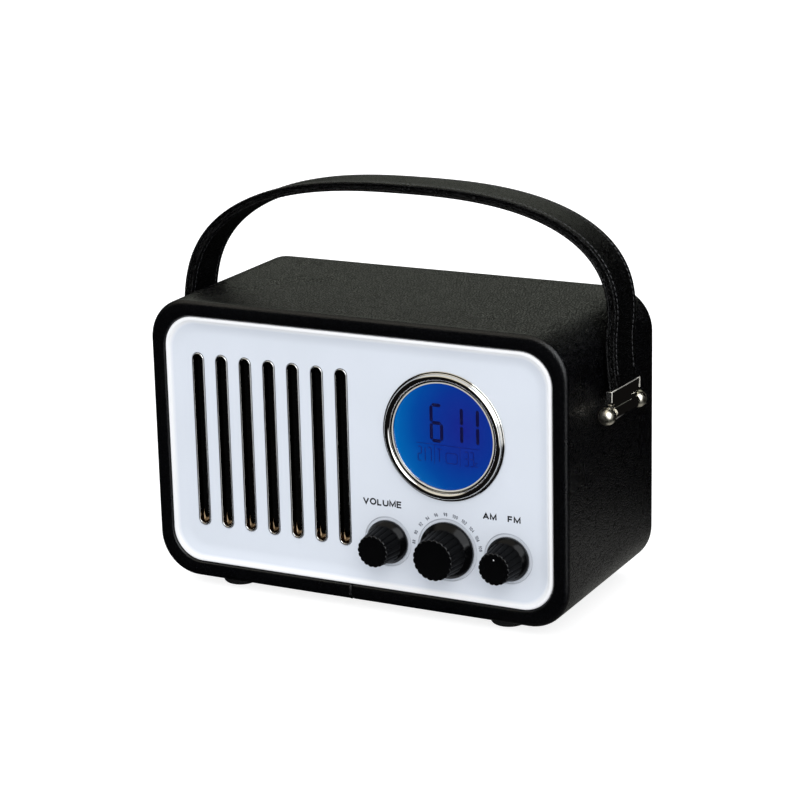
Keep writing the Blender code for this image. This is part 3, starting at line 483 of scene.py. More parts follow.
def outline(half_width, half_height, radius, steps, runs=(1, 1), bottom=None):
    """Rounded rectangle as (x, z) points, anticlockwise from the right of the top corner.

    runs is how many parts the level and the upright sides have; bottom, if given, is the
    list of extra x places along the underside instead.
    """
    points = []
    signs = ((1, 1), (-1, 1), (-1, -1), (1, -1))
    for corner, (sign_x, sign_z) in enumerate(signs):
        centre = Vector((sign_x * (half_width - radius), sign_z * (half_height - radius)))
        for step in range(steps + 1):
            angle = math.pi / 2 * (corner + step / steps)
            points.append(centre + Vector((math.cos(angle), math.sin(angle))) * radius)
        start = points[-1]
        angle = math.pi / 2 * (corner + 1)
        next_x, next_z = signs[(corner + 1) % 4]
        following = Vector((next_x * (half_width - radius), next_z * (half_height - radius)))
        end = following + Vector((math.cos(angle), math.sin(angle))) * radius
        if corner == 2 and bottom:
            points += [Vector((x, start.y)) for x in bottom]
        else:
            parts = runs[corner % 2]
            points += [start.lerp(end, part / parts) for part in range(1, parts)]
    return points


AXES = {"X": Vector((1, 0, 0)), "Y": Vector((0, 1, 0)), "Z": Vector((0, 0, 1))}


def hoop(centre, side, out, radius, count):
    """Evenly spaced points round a centre, starting towards side and going by way of out."""
    points = []
    for i in range(count):
        turn = 2 * math.pi * i / count
        points.append(centre + (side * (radius * math.cos(turn)) + out * (radius * math.sin(turn))))
    return points


def turned(place, axis, profile, segments, closed=False):
    """A turned body: profile is (radius, distance along axis) from place."""
    side, out = {"X": "YZ", "Y": "ZX", "Z": "XY"}[axis]
    rings = []
    for radius, distance in profile:
        rings.append(hoop(place + AXES[axis] * distance, AXES[side], AXES[out], radius, segments))
    return loft(rings, closed)


def rod(place, axis, radius, near, far, segments=32):
    """A plain cylinder between two distances along its axis."""
    return turned(place, axis, [(radius, near), (radius, far)], segments)


def facing(points, depth, x=0.0, height=0.0):
    """Flat points set upright at a depth, facing the front."""
    return [at(x + p.x, depth, height + p.y) for p in points]


def plate_ring(x, height, width, tall, radius, depth, steps, runs=(1, 1)):
    """A rounded rectangle facing the front."""
    return facing(outline(width / 2, tall / 2, radius, steps, runs), depth, x, height)


def opening_ring(inset, radius, depth, runs=(1, 1)):
    """A rounded rectangle that keeps an inset from the front panel's edge."""
    total = PANEL_INSET + inset
    return plate_ring(0, HEIGHT / 2, WIDTH - 2 * total, HEIGHT - 2 * total, radius, depth, 14, runs)


def slab(x, height, width, tall, radius, near, far, steps=6):
    """A plate with rounded corners, facing the front, between two depths."""
    return loft([plate_ring(x, height, width, tall, radius, depth, steps) for depth in (near, far)])


def block(low, high, bevel=0.0):
    """A box between two corners, with rounded edges."""
    bm = bmesh.new()
    bmesh.ops.create_cube(bm, size=1.0)
    bmesh.ops.scale(bm, vec=high - low, verts=bm.verts)
    bmesh.ops.translate(bm, vec=(low + high) / 2, verts=bm.verts)
    if bevel:
        bmesh.ops.bevel(bm, geom=bm.edges[:], offset=bevel, segments=3, profile=0.5, affect="EDGES")
    return bm


def as_mesh(bm, name="part"):
    mesh = bpy.data.meshes.new(name)
    bm.to_mesh(mesh)
    bm.free()
    return mesh


def joined(parts):
    """Several bodies in one mesh."""
    bm = bmesh.new()
    for part in parts:
        mesh = as_mesh(part)
        bm.from_mesh(mesh)
        bpy.data.meshes.remove(mesh)
    return bm


def put(name, data):
    """A new object in the scene."""
    item = bpy.data.objects.new(name, data)
    bpy.context.collection.objects.link(item)
    return item


def combined(bm, added=(), cut=()):
    """The mesh after exact Booleans with others."""
    steps = [("UNION", other) for other in added] + [("DIFFERENCE", other) for other in cut]
    for operation, other in steps:
        item = put("base", as_mesh(bm))
        tool = put("tool", as_mesh(other))
        modifier = item.modifiers.new("cut", "BOOLEAN")
        modifier.operation = operation
        modifier.solver = "EXACT"
        modifier.object = tool
        bpy.context.view_layer.update()
        result = bpy.data.meshes.new_from_object(item.evaluated_get(bpy.context.evaluated_depsgraph_get()))
        bm = bmesh.new()
        bm.from_mesh(result)
        for used in (item, tool):
            mesh = used.data
            bpy.data.objects.remove(used)
            bpy.data.meshes.remove(mesh)
        bpy.data.meshes.remove(result)
    return bm


def piece(name, bm, surface, body="cabinet", replaces=(), sharp=35.0):
    """Makes a shown piece that rides on a body and takes its finish from a slot."""
    mesh = as_mesh(bm, name)
    mesh.shade_smooth()
    mesh.set_sharp_from_angle(angle=math.radians(sharp))
    mesh.materials.append(MATERIALS[surface])
    item = put(name, mesh)
    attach(item, body)
    if replaces:
        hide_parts(*replaces)


# ---------------------------------------------------------------- cabinet


def leather_section():
    """The wrap's closed section as (inset, depth, outside), front half then back half."""
    corner = OPENING_INSET - OPENING_EDGE_ROUND
    spacing, crown = 0.0083, 0.00018
    outside = [(0.0, DEPTH / 2 - step * spacing) for step in range(6)]
    outside += arc((EDGE_ROUND, EDGE_ROUND), EDGE_ROUND, 180, 270, 8)
    for step in range(1, 5):
        rise = crown * math.sin(math.pi * step / 5)
        outside.append((EDGE_ROUND + (corner - EDGE_ROUND) * step / 5, -rise))
    outside += arc((corner, OPENING_EDGE_ROUND), OPENING_EDGE_ROUND, 270, 360, 5)
    outside.append((OPENING_INSET, LEATHER_FOLD / 2))
    inner = OPENING_INSET - LEATHER
    inside = [(OPENING_INSET, LEATHER_FOLD), (inner, LEATHER_FOLD)]
    inside += [(inner, LEATHER), (LEATHER, LEATHER), (LEATHER, DEPTH / 2)]
    half = [(*point, 1) for point in outside] + [(*point, 0) for point in inside]
    return half + [(inset, DEPTH - depth, skin) for inset, depth, skin in reversed(half[1:-1])]


def side_holes():
    """Cutter for the holes of the handle's bushings."""
    places = [at(side * WIDTH / 2, PIVOT_DEPTH, PIVOT_HEIGHT) for side in (-1, 1)]
    return joined([rod(place, "X", 0.0048, -0.012, 0.012) for place in places])


def seam_swell(x):
    """How far the leather stands out beside the seam, less how far it sinks into it."""
    ridge, groove = 0.00016, 0.00060
    away = x - SEAM_X
    swell = ridge * math.exp(-(((away + 0.0008) / 0.0005) ** 2))
    return swell - groove * math.exp(-((away / 0.00030) ** 2))


def make_wrap():
    """Leather over the box: rounded rims turned into both openings and a butted seam below."""
    span = WIDTH / 2 - CORNER_RADIUS
    level_parts, upright_parts = 34, 18
    seam_zone = 0.003
    ripple, unevenness = 0.00007, 0.00002
    places = [-span + span * 2 * i / level_parts for i in range(1, level_parts)]
    places = [x for x in places if abs(x - SEAM_X) > seam_zone] + [SEAM_X]
    places += [SEAM_X + side * x for x in (0.00018, 0.0004, 0.0008, 0.0016) for side in (-1, 1)]
    places.sort()
    section = leather_section()
    rings = []
    for index, (inset, depth, skin) in enumerate(section):
        before, after = section[index - 1], section[(index + 1) % len(section)]
        along = (Vector(after[:2]) - Vector(before[:2])).normalized()
        radius = CORNER_RADIUS + (OPENING_RADIUS - CORNER_RADIUS) * inset / OPENING_INSET
        halves = WIDTH / 2 - inset, HEIGHT / 2 - inset
        shape = outline(*halves, radius, 14, (level_parts, upright_parts), places)
        ring = []
        for i, point in enumerate(shape):
            side = shape[i - 1] - shape[(i + 1) % len(shape)]
            outward = Vector((-side.y, side.x)).normalized()
            place = at(point.x, depth, HEIGHT / 2 + point.y)
            swell = 0.0
            if skin:
                swell = ripple * noise.noise(place * 26.0) + unevenness * noise.noise(place * 90.0)
                if point.y < 0 and abs(point.x - SEAM_X) < 0.002 and outward.y < -0.9:
                    swell += seam_swell(point.x)
            rise = -along.y * swell
            ring.append(place + Vector((outward.x * rise, -along.x * swell, outward.y * rise)))
        rings.append(ring)
    wrap = combined(loft(rings, closed=True), cut=[side_holes()])
    piece("wrap_leather", wrap, "leather_black", replaces=["leather_wrap"], sharp=50.0)


def make_seam_stitches():
    """A row of thread along the seam, on the rim's front face and back along the underside."""
    x = SEAM_X - 0.0010
    length, radius, pitch = 0.0010, 0.00019, 0.0016
    rows = [(at(x, -0.00008, 0.0030 + pitch * i), AXES["Z"], -AXES["Y"]) for i in range(3)]
    rows += [(at(x, 0.0040 + pitch * i, -0.00008), AXES["Y"], -AXES["Z"]) for i in range(61)]
    threads = []
    for middle, along, out in rows:
        side = out.cross(along)
        rings = []
        for share, reach, lift in ((-0.5, 0.4, -0.5), (-0.3, 1.0, 0.2), (0.3, 1.0, 0.2), (0.5, 0.4, -0.5)):
            centre = middle + along * length * share + out * radius * lift
            rings.append(hoop(centre, side, out, radius * reach, 6))
        threads.append(loft(rings))
    # The thread is in the lightened finish, a painted glint.
    piece("seam_stitches", joined(threads), "thread_black", sharp=70.0)


def make_feet():
    """Four rubber feet with domed edges."""
    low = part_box("foot_front_left")[0][2] - WRAP_LOW.z
    profile = [(0.0016, low), (0.0060, low)]
    profile += arc((0.0066, 0.0022 + low), 0.0022, 270, 340, 7)
    profile += [(0.0091, low + 0.0026), (0.0092, -GAP)]
    for node in [f"foot_{end}_{side}" for end in ("front", "rear") for side in ("left", "right")]:
        near, far = (Vector(corner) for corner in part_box(node))
        place = Vector(((near.x + far.x) / 2, (near.y + far.y) / 2, WRAP_LOW.z))
        piece(f"rubber_{node}", turned(place, "Z", profile, 40), "rubber", replaces=[node])


# ---------------------------------------------------------------- front


def slot_ring(x, half_width, depth, lift=0.0, steps=12):
    """Outline of one slot at a depth, its lower end raised by lift."""
    reach = (SLOT_LENGTH - SLOT_WIDTH) / 2
    ring = []
    for start, centre in ((0, reach), (180, -reach + lift)):
        for px, pz in arc((x, GRILLE_HEIGHT + centre), half_width, start, start + 180, steps):
            ring.append(at(px, depth, pz))
    return ring


def slot_places():
    return [GRILLE_X + (i - (SLOT_COUNT - 1) / 2) * SLOT_PITCH for i in range(SLOT_COUNT)]


def panel_section():
    """The tray's section as (inset, depth): lip, hollow slope and the field's edge."""
    lip = 0.0004
    slope_inset, slope_depth = 0.0018, lip + 0.00055
    points = [(FIELD_INSET, PANEL_BACK), (0.0020, lip + 0.003), (0.0, lip + 0.003)]
    points += arc((0.0009, lip + 0.0009), 0.0009, 180, 270, 6)
    points += arc((0.0011, lip + 0.0011), 0.0011, 275, 325, 4)
    for step in range(1, 10):
        share = step / 9
        fall = math.sin(math.pi / 2 * share) ** 1.15
        inset = slope_inset + (FIELD_INSET - slope_inset) * share
        points.append((inset, slope_depth + (FIELD_DEPTH - slope_depth) * fall))
    return points + [(FIELD_INSET + 0.0006, FIELD_DEPTH)]


def knob_recess(x, radius, near, far):
    """Cutter for a knob's shallow round recess and its shaft's hole."""
    wall = radius + 0.0014
    bore = 0.0043
    floor = FIELD_DEPTH + 0.0008
    profile = [
        (wall + 0.0004, near),
        (wall + 0.0004, FIELD_DEPTH - 0.0001),
        (wall + 0.0002, FIELD_DEPTH + 0.0001),
        (wall, FIELD_DEPTH + 0.0003),
        (wall, floor - 0.0002),
        (wall - 0.0002, floor),
        (bore, floor),
        (bore, far),
    ]
    return turned(at(x, 0, KNOB_HEIGHT), "Y", profile, 72)


def make_panel():
    """The white tray: a rounded lip, a hollow slope and a flat field with its openings."""
    rings = []
    for inset, depth in panel_section():
        rings.append(opening_ring(inset, PANEL_RADIUS - 0.6 * min(inset, FIELD_INSET), depth, (6, 4)))
    through = (FIELD_DEPTH - 0.004, PANEL_BACK + 0.003)
    cuts = [loft([slot_ring(x, SLOT_WIDTH / 2 + GAP, depth) for depth in through]) for x in slot_places()]
    cuts.append(rod(at(DISPLAY_X, 0, DISPLAY_HEIGHT), "Y", COLLAR_RADIUS + GAP, *through, 96))
    cuts += [knob_recess(x, radius, *through) for x, radius, _ in KNOBS.values()]
    body = combined(loft(rings), cut=[joined(cuts)])
    piece("panel_white", body, "gloss_white", replaces=["front_panel"], sharp=30.0)


def make_slot_rims():
    """Seven chromed slot liners: a round bead on the panel, straight walls, a scooped foot."""
    outer = SLOT_WIDTH / 2
    bead = 0.0004
    crest = FIELD_DEPTH - 0.00015
    seat, back = DISPLAY_SURFACE, DISPLAY_SURFACE + 0.0010
    section = [(outer, seat, 0.0), (outer, FIELD_DEPTH + 0.0003, 0.0)]
    section += [(w, d, 0.0) for w, d in arc((outer - bead, crest), bead, 0, -180, 8)]
    inner = outer - 2 * bead
    top, scoop, rise = crest + 0.0001, 0.0036, 0.0044
    for step in range(10):
        depth = top + (back - top) * step / 9
        share = min(1.0, 1 - (back - depth) / scoop)
        section.append((inner, depth, rise * (1 - math.sqrt(1 - share**2))))
    flange = SLOT_PITCH / 2 - 0.0002
    section += [(flange, back, 0.0), (flange, seat, 0.0)]
    liners = []
    for x in slot_places():
        liners.append(loft([slot_ring(x, w, d, lift, 16) for w, d, lift in section], closed=True))
    piece("slot_rims", joined(liners), "slot_chrome", replaces=["grille_insert"], sharp=40.0)


def make_bezel():
    """The chromed ring round the clock window."""
    seat = FIELD_DEPTH - GAP
    section = [
        (COLLAR_RADIUS, PANEL_BACK),
        (COLLAR_RADIUS, seat),
        (BEZEL_RADIUS, seat),
        (BEZEL_RADIUS, seat - 0.0004),
        (BEZEL_RADIUS - 0.0002, seat - 0.0006),
        (0.03045, seat - 0.0006),
        (0.03030, seat - 0.0007),
    ]
    crest, outer, inner, rise = 0.0290, 0.0012, 0.0019, 0.0017
    for r, d in arc((0.0, 0.0), 1.0, 0, -180, 24):
        section.append((crest + r * (outer if r > 0 else inner), seat - 0.0009 + d * rise))
    section += [
        (0.02690, seat - 0.0008),
        (0.02665, seat - 0.0010),
        (0.02640, seat - 0.0010),
        (0.02615, seat - 0.0008),
        (0.02580, seat - 0.0002),
        (0.02570, seat + 0.0003),
        (0.02570, FIELD_DEPTH),
        (0.02700, FIELD_DEPTH),
        (0.02700, PANEL_BACK),
    ]
    centre = at(DISPLAY_X, 0, DISPLAY_HEIGHT)
    ring = turned(centre, "Y", section, 144, closed=True)
    piece("clock_ring", ring, "chrome", replaces=["display_bezel"], sharp=32.0)

    # A thin bead in a pale finish round the ring's inner edge: a painted highlight.
    edge = [(0.02606 + r * 0.00034, seat - 0.0010 + d * 0.00028) for r, d in arc((0, 0), 1.0, 0, -330, 11)]
    bead = turned(centre, "Y", edge, 144, closed=True)
    piece("clock_ring_highlight", bead, "painted_highlight", sharp=60.0)


def make_knob(name, x, radius, lobes):
    """Smooth skirt, bright collar and a fluted cone with a scalloped face."""
    base, tip = 0.0034, -KNOB_REACH
    face = radius * 0.735
    shoulder = radius * 0.70 + 0.0014
    shaft = 0.0033
    # radius, depth and how deeply the flutes cut in
    profile = [
        (shaft, base, 0.0),
        (radius - 0.0004, base, 0.0),
        (radius, base - 0.0004, 0.0),
        (radius, 0.0018, 0.0),
        (radius - 0.0001, 0.0014, 0.0),
        (radius - 0.0004, 0.0011, 0.0),
        (shoulder + 0.0004, -0.0009, 0.0),
        (shoulder + 0.0001, -0.0011, 0.1),
        (shoulder, -0.0014, 0.35),
        (shoulder - 0.00005, -0.0019, 0.8),
        (shoulder - 0.0001, -0.0026, 1.0),
    ]
    for step in range(1, 8):
        share = step / 7
        r = shoulder - 0.0001 + (face + 0.0001 - shoulder) * share
        profile.append((r, -0.0026 + (tip + 0.0032) * share, 1.0))
    profile += [
        (face - 0.00005, tip + 0.00036, 1.0),
        (face - 0.00018, tip + 0.00018, 1.0),
        (face - 0.00036, tip + 0.00006, 1.0),
        (face - 0.0007, tip, 0.9),
        (face - 0.0014, tip + 0.00005, 0.25),
        (face - 0.0018, tip + 0.00020, 0.0),
        (0.0020, tip + 0.00030, 0.0),
    ]
    per_lobe, flute = 10, 0.00062
    place = at(x, 0, KNOB_HEIGHT)
    rings = []
    for r, depth, fluting in profile:
        ring = []
        for i in range(lobes * per_lobe):
            turn = 2 * math.pi * i / (lobes * per_lobe)
            ridge = abs(math.sin(math.pi * i / per_lobe)) ** 0.55
            reach = r - flute * fluting * (1 - ridge)
            ring.append(place + Vector((reach * math.sin(turn), depth, reach * math.cos(turn))))
        rings.append(ring)
    body = combined(loft(rings), cut=[rod(place, "Y", shaft, tip + 0.0052, base + 0.002, 40)])
    piece(f"{name}_dial", body, "knob_black", body=name, replaces=[f"{name}_knob"], sharp=48.0)


def make_pointer():
    """White dot on the band knob's face."""
    place = at(KNOBS["band"][0], -KNOB_REACH, KNOB_HEIGHT + 0.0045)
    dot = turned(place, "Y", [(0.00028, 0.0004), (0.00036, 0.00028), (0.0003, 0.00018)], 20)
    piece("band_dot", dot, "ink_white", body="band")


# ---------------------------------------------------------------- lettering and display


ROUND = arc((0.5, 0.5), 0.5, 180, -180, 18)
BOWL = [(0.5 + 0.5 * c, 0.34 + 0.34 * s) for c, s in arc((0, 0), 1, 180, 360, 9)]
LETTERS = {
    # each letter's width, and its strokes through points in a unit square
    "V": (0.86, [[(0, 1), (0.5, 0), (1, 1)]]),
    "O": (0.92, [ROUND]),
    "L": (0.62, [[(0, 1), (0, 0), (1, 0)]]),
    "U": (0.80, [[(0, 1)] + BOWL + [(1, 1)]]),
    "M": (0.92, [[(0, 0), (0, 1), (0.5, 0.12), (1, 1), (1, 0)]]),
    "E": (0.70, [[(1, 1), (0, 1), (0, 0), (1, 0)], [(0, 0.53), (0.92, 0.53)]]),
    "A": (0.90, [[(0, 0), (0.5, 1), (1, 0)], [(0.18, 0.34), (0.82, 0.34)]]),
    "F": (0.64, [[(1, 1), (0, 1), (0, 0)], [(0, 0.51), (0.9, 0.51)]]),
    "0": (0.52, [ROUND]),
    "1": (0.30, [[(0, 0.75), (1, 1), (1, 0)]]),
    "2": (0.50, [[(0, 0.75), (0.25, 1), (0.75, 1), (1, 0.75), (0, 0), (1, 0)]]),
    "4": (0.54, [[(0.75, 0), (0.75, 1), (0, 0.3), (1, 0.3)]]),
    "6": (0.52, [
        [(0.9, 0.95), (0.4, 0.9), (0, 0.35), (0.3, 0), (0.8, 0.05), (1, 0.35), (0.6, 0.6), (0.05, 0.4)],
    ]),
    "8": (0.52, [
        [(0.5, 0.55), (0.05, 0.8), (0.5, 1), (0.95, 0.8), (0.5, 0.55)]
        + [(0, 0.25), (0.5, 0), (1, 0.25), (0.5, 0.55)],
    ]),
    "9": (0.52, [
        [(0.95, 0.6), (0.4, 0.4), (0, 0.7), (0.3, 1), (0.8, 0.95), (1, 0.6), (0.6, 0.08), (0.1, 0.05)],
    ]),
}


def ribbon(points, stroke, closed=False):
    """Outline pairs either side of a line, mitred at its bends."""
    before = points[-2] if closed else points[0] * 2 - points[1]
    after = points[1] if closed else points[-1] * 2 - points[-2]
    pairs = []
    for near, point, far in zip([before, *points], points, [*points[1:], after]):
        inward = (point - near).normalized()
        mitre = (inward + (far - point).normalized()).normalized()
        across = Vector((-mitre.y, mitre.x)) * (stroke / 2 / max(0.45, mitre.dot(inward)))
        pairs.append((point + across, point - across))
    return pairs


def lettering(text, centre_x, centre_z, width, height, stroke, turn=0.0):
    """Printed strokes facing the front, fitted to a width and a height."""
    spacing = 0.36
    advance = sum(LETTERS[key][0] + spacing for key in text) - spacing
    across, tall = width - stroke, height - stroke
    scale = across / advance
    cosine, sine = math.cos(turn), math.sin(turn)
    near, far = FIELD_DEPTH - 0.00004, FIELD_DEPTH + 0.00004
    strokes = []
    left = 0.0
    for key in text:
        share, lines = LETTERS[key]
        for line in lines:
            points = []
            for px, pz in line:
                u = (left + px * share) * scale - across / 2
                v = (pz - 0.5) * tall
                points.append(Vector((centre_x + u * cosine + v * sine, centre_z - u * sine + v * cosine)))
            closed = (points[0] - points[-1]).length < stroke * 0.01
            pairs = ribbon(points, stroke, closed)
            rings = []
            for one, other in pairs[:-1] if closed else pairs:
                corners = ((one, near), (other, near), (other, far), (one, far))
                rings.append([at(p.x, depth, p.y) for p, depth in corners])
            strokes.append(loft(rings, closed))
        left += share + spacing
    return joined(strokes)


def make_lettering():
    """The three printed words, and the numbers fanned over the tuning knob."""
    # word, x, height above the underside, width and height of its letters
    words = (
        ("VOLUME", 0.0133, 0.0503, 0.0207, 0.0034),
        ("AM", 0.0692, 0.0506, 0.0071, 0.0033),
        ("FM", 0.08165, 0.0506, 0.0066, 0.0033),
    )
    printed = [lettering(*word, 0.00071) for word in words]
    piece("panel_words", joined(printed), "ink_dark", sharp=60.0)

    numbers = ("88", "90", "92", "94", "96", "98", "100", "102", "104", "106", "108")
    x, radius, _ = KNOBS["tuning"]
    reach = radius + 0.0037
    marks = []
    for i, number in enumerate(numbers):
        turn = math.radians(-84 + 164 * i / (len(numbers) - 1))
        place = (x + reach * math.sin(turn), KNOB_HEIGHT + reach * math.cos(turn))
        marks.append(lettering(number, *place, 0.00100 * len(number), 0.0018, 0.00032, turn))
    piece("dial_numbers", joined(marks), "ink_grey", sharp=60.0)


BARS = {
    # ends of each bar, in widths and half heights of the digit
    "a": ((0, 2), (1, 2)),
    "b": ((1, 2), (1, 1)),
    "c": ((1, 1), (1, 0)),
    "d": ((0, 0), (1, 0)),
    "e": ((0, 1), (0, 0)),
    "f": ((0, 2), (0, 1)),
    "g": ((0, 1), (1, 1)),
}
SEGMENTS = {"1": "bc", "2": "abged", "3": "abgcd", "6": "afgedc", "7": "abc", "c": "ged"}
INK_FRONT = DISPLAY_SURFACE - 0.00006
INK_BACK = INK_FRONT + 0.00003


def segment_bars(digit, left, low, width, tall, stroke):
    """The lit bars of one seven-segment digit, as flat hexagons."""
    half = stroke / 2
    bars = []
    for key in SEGMENTS[digit]:
        start, end = (Vector((left + width * x, low + tall / 2 * z)) for x, z in BARS[key])
        along = (end - start).normalized()
        across = Vector((-along.y, along.x)) * half
        near = start + along * half * 1.15
        far = end - along * half * 1.15
        tip = along * half * 0.9
        bars.append([near - tip, near + across, far + across, far + tip, far - across, near - across])
    return bars


def flat_shapes(shapes):
    """Thin plates just in front of the display cell."""
    return joined([loft([facing(shape, depth) for depth in (INK_FRONT, INK_BACK)]) for shape in shapes])


def bar(x0, z0, x1, z1, stroke):
    """A straight line with thickness."""
    start, end = Vector((x0, z0)), Vector((x1, z1))
    across = (end - start).normalized().orthogonal() * stroke / 2
    return [start + across, end + across, end - across, start - across]


def make_display():
    """Clock digits over a rule, and below it small faint marks parted by upright rules."""
    clock = []
    for digit, left in (("6", 0.0390), ("1", 0.0493), ("1", 0.0575)):
        clock += segment_bars(digit, left, 0.0836, 0.0053, 0.0172, 0.00165)
    piece("clock_digits", flat_shapes(clock), "display_ink")

    rule, foot = 0.0817, 0.0722
    cap, capital = 0.0797, 0.0735
    faint = [
        bar(0.0308, rule, 0.0634, rule, 0.00028),
        bar(0.0404, rule, 0.0404, foot, 0.00026),
        bar(0.0536, rule, 0.0536, foot, 0.00026),
        bar(0.0417, cap, 0.0441, cap, 0.0005),
        bar(0.0429, cap, 0.0429, capital, 0.0005),
    ]
    for digit, left in (("2", 0.0318), ("1", 0.0337), ("7", 0.0369), ("3", 0.0560), ("3", 0.0588)):
        faint += segment_bars(digit, left, 0.0731, 0.0018, 0.0068, 0.00050)
    faint += segment_bars("c", 0.0615, 0.0731, 0.0012, 0.0040, 0.0004)
    # width, height and corner radius of a small empty box among the marks
    box, hollow = (0.0062, 0.0054, 0.0012), (0.0054, 0.0046, 0.0009)
    section = ((box, INK_FRONT), (hollow, INK_FRONT), (hollow, INK_BACK), (box, INK_BACK))
    rings = [plate_ring(0.0492, 0.0758, *size, depth, 5) for size, depth in section]
    marks = joined([flat_shapes(faint), loft(rings, closed=True)])
    piece("clock_small_marks", marks, "display_ink_faint")


# ---------------------------------------------------------------- handle


PIVOT = at(0, PIVOT_DEPTH, PIVOT_HEIGHT)
LEAN = Matrix.Translation(PIVOT) @ Matrix.Rotation(HANDLE_LEAN, 4, "X") @ Matrix.Translation(-PIVOT)


def leaned(bm):
    """The handle is laid out upright and then leaned back on its pivot."""
    bmesh.ops.transform(bm, matrix=LEAN, verts=bm.verts)
    return bm


def strap_line(t):
    """Middle line of the strap, t from -1 (left clip) to 1 (right clip), as x and height."""
    leg = STRAP_SHOULDER - STRAP_FOOT
    leg_share = 0.16
    side = 1 if t > 0 else -1
    along = abs(t)
    if along > 1 - leg_share:
        drop = (along - (1 - leg_share)) / leg_share
        x = STRAP_HALF_SPAN + (PIVOT_X - STRAP_HALF_SPAN) * drop**2
        return side * x, STRAP_SHOULDER - leg * drop
    angle = math.pi / 2 * along / (1 - leg_share)
    power = 2 / STRAP_FULLNESS
    x = side * STRAP_HALF_SPAN * math.sin(angle) ** power
    rise = max(0.0, math.cos(angle)) ** power
    return x + STRAP_SKEW * rise, STRAP_SHOULDER + STRAP_RISE * rise


def strap_frames(count, start=0.0, end=1.0):
    """Evenly spaced (place, normal, tangent) along the strap, between two shares of it."""
    steps = 1200
    fine = [Vector(strap_line(2 * i / steps - 1)) for i in range(steps + 1)]
    lengths = [0.0]
    for near, far in zip(fine, fine[1:]):
        lengths.append(lengths[-1] + (far - near).length)
    frames = []
    index = 0
    for step in range(count + 1):
        target = lengths[-1] * (start + (end - start) * step / count)
        while index < steps - 1 and lengths[index + 1] < target:
            index += 1
        share = (target - lengths[index]) / (lengths[index + 1] - lengths[index])
        place = fine[index].lerp(fine[index + 1], share)
        before = fine[max(index - 6, 0)]
        after = fine[min(index + 7, steps)]
        tangent = (after - before).normalized()
        frames.append((place, Vector((-tangent.y, tangent.x)), tangent))
    return frames, lengths[-1]


def strap_point(frame_at, y, offset, along=0.0):
    place, normal, tangent = frame_at
    spot = place + normal * offset + tangent * along
    return PIVOT + Vector((spot.x, y, spot.y))


def edge_spaced(half, soft):
    """Places across the strap, closer together at its rounded edges and sewn channels."""
    near = [soft * share for share in (0.0, 0.06, 0.2, 0.45, 1.0)]
    near += [STITCH_EDGE + 0.0004 * step for step in range(-2, 3)] + [0.0050, 0.0088]
    left = [-half + value for value in near]
    return left + [0.0] + [-y for y in reversed(left)]


def band_section(inner, outer, half, face):
    """Section of a leather layer as (y, offset): soft edges, and sewn channels in one face."""
    soft = 0.00060
    across = edge_spaced(half, soft)
    points = []
    for side, level in ((1, outer), (-1, inner)):
        for y in across[::side]:
            edge = half - abs(y)
            drop = soft - math.sqrt(max(0.0, soft**2 - (soft - edge) ** 2)) if edge < soft else 0.0
            if side == face:
                drop += 0.00030 * math.exp(-(((edge - STITCH_EDGE) / 0.00045) ** 2))
            if side == face == 1:
                drop -= 0.00010 * math.exp(-(((edge - STITCH_EDGE) / 0.0020) ** 2))
            points.append((y, level - side * drop))
    return points


def strap_band(section, frames):
    return loft([[strap_point(frame_at, y, offset) for y, offset in section] for frame_at in frames])


def stitches(offset, sign):
    """Sewn thread along both edges, each stitch a short bowed capsule."""
    length, pitch, slant = 0.0021, 0.0027, 0.00030
    # share of the length, radius and height
    half = [(-0.5, 0.00010, -0.00016), (-0.42, 0.00021, -0.00004), (-0.2, 0.00026, 0.00006)]
    bow = half + [(-along, radius, height) for along, radius, height in reversed(half)]
    frames, _ = strap_frames(int(strap_frames(2)[1] / pitch), 0.012, 0.988)
    threads = []
    for y in (STITCH_EDGE - STRAP_WIDTH / 2, STRAP_WIDTH / 2 - STITCH_EDGE):
        for frame_at in frames[:-1]:
            normal = frame_at[1]
            out = Vector((normal.x, 0, normal.y)) * sign
            rings = []
            for along, radius, height in bow:
                centre = strap_point(frame_at, y + along * slant, offset + sign * height, along * length)
                rings.append(hoop(centre, AXES["Y"], out, radius, 6))
            threads.append(loft(rings))
    return joined(threads)


def make_strap():
    """Outer leather, lining and core, sewn along both edges."""
    half = STRAP_WIDTH / 2
    frames, _ = strap_frames(150)
    inner = STRAP_LAYER / 2 + GAP
    outer = inner + STRAP_LAYER
    layers = (("top", inner, outer, 1, "outer"), ("under", -outer, -inner, -1, "lining"))
    for name, low, high, face, node in layers:
        band = leaned(strap_band(band_section(low, high, half, face), frames))
        piece(f"strap_{name}", band, "strap_leather", "handle", [f"strap_{node}"], 60.0)

    core_half = half - 0.0012
    fill = inner - 0.00002
    core = [(-core_half, -fill), (-core_half, fill), (core_half, fill), (core_half, -fill)]
    tail = Vector((0, 0.0040))
    tails = [(place - tail, normal, tangent) for place, normal, tangent in (frames[0], frames[-1])]
    band = leaned(strap_band(core, [tails[0], *frames, tails[1]]))
    piece("strap_middle", band, "strap_leather", "handle", ["strap_core"], 40.0)

    sunk = 0.00012
    # The strap's outer thread is lightened, a painted glint; the lining's thread is darker.
    for name, sign, surface in (("strap", 1, "thread_black"), ("lining", -1, "thread_dark")):
        thread = leaned(stitches(sign * (outer - sunk), sign))
        piece(f"{name}_stitches", thread, surface, "handle", sharp=70.0)


def clip_centre(sign):
    return PIVOT + Vector((sign * PIVOT_X, 0, 0))


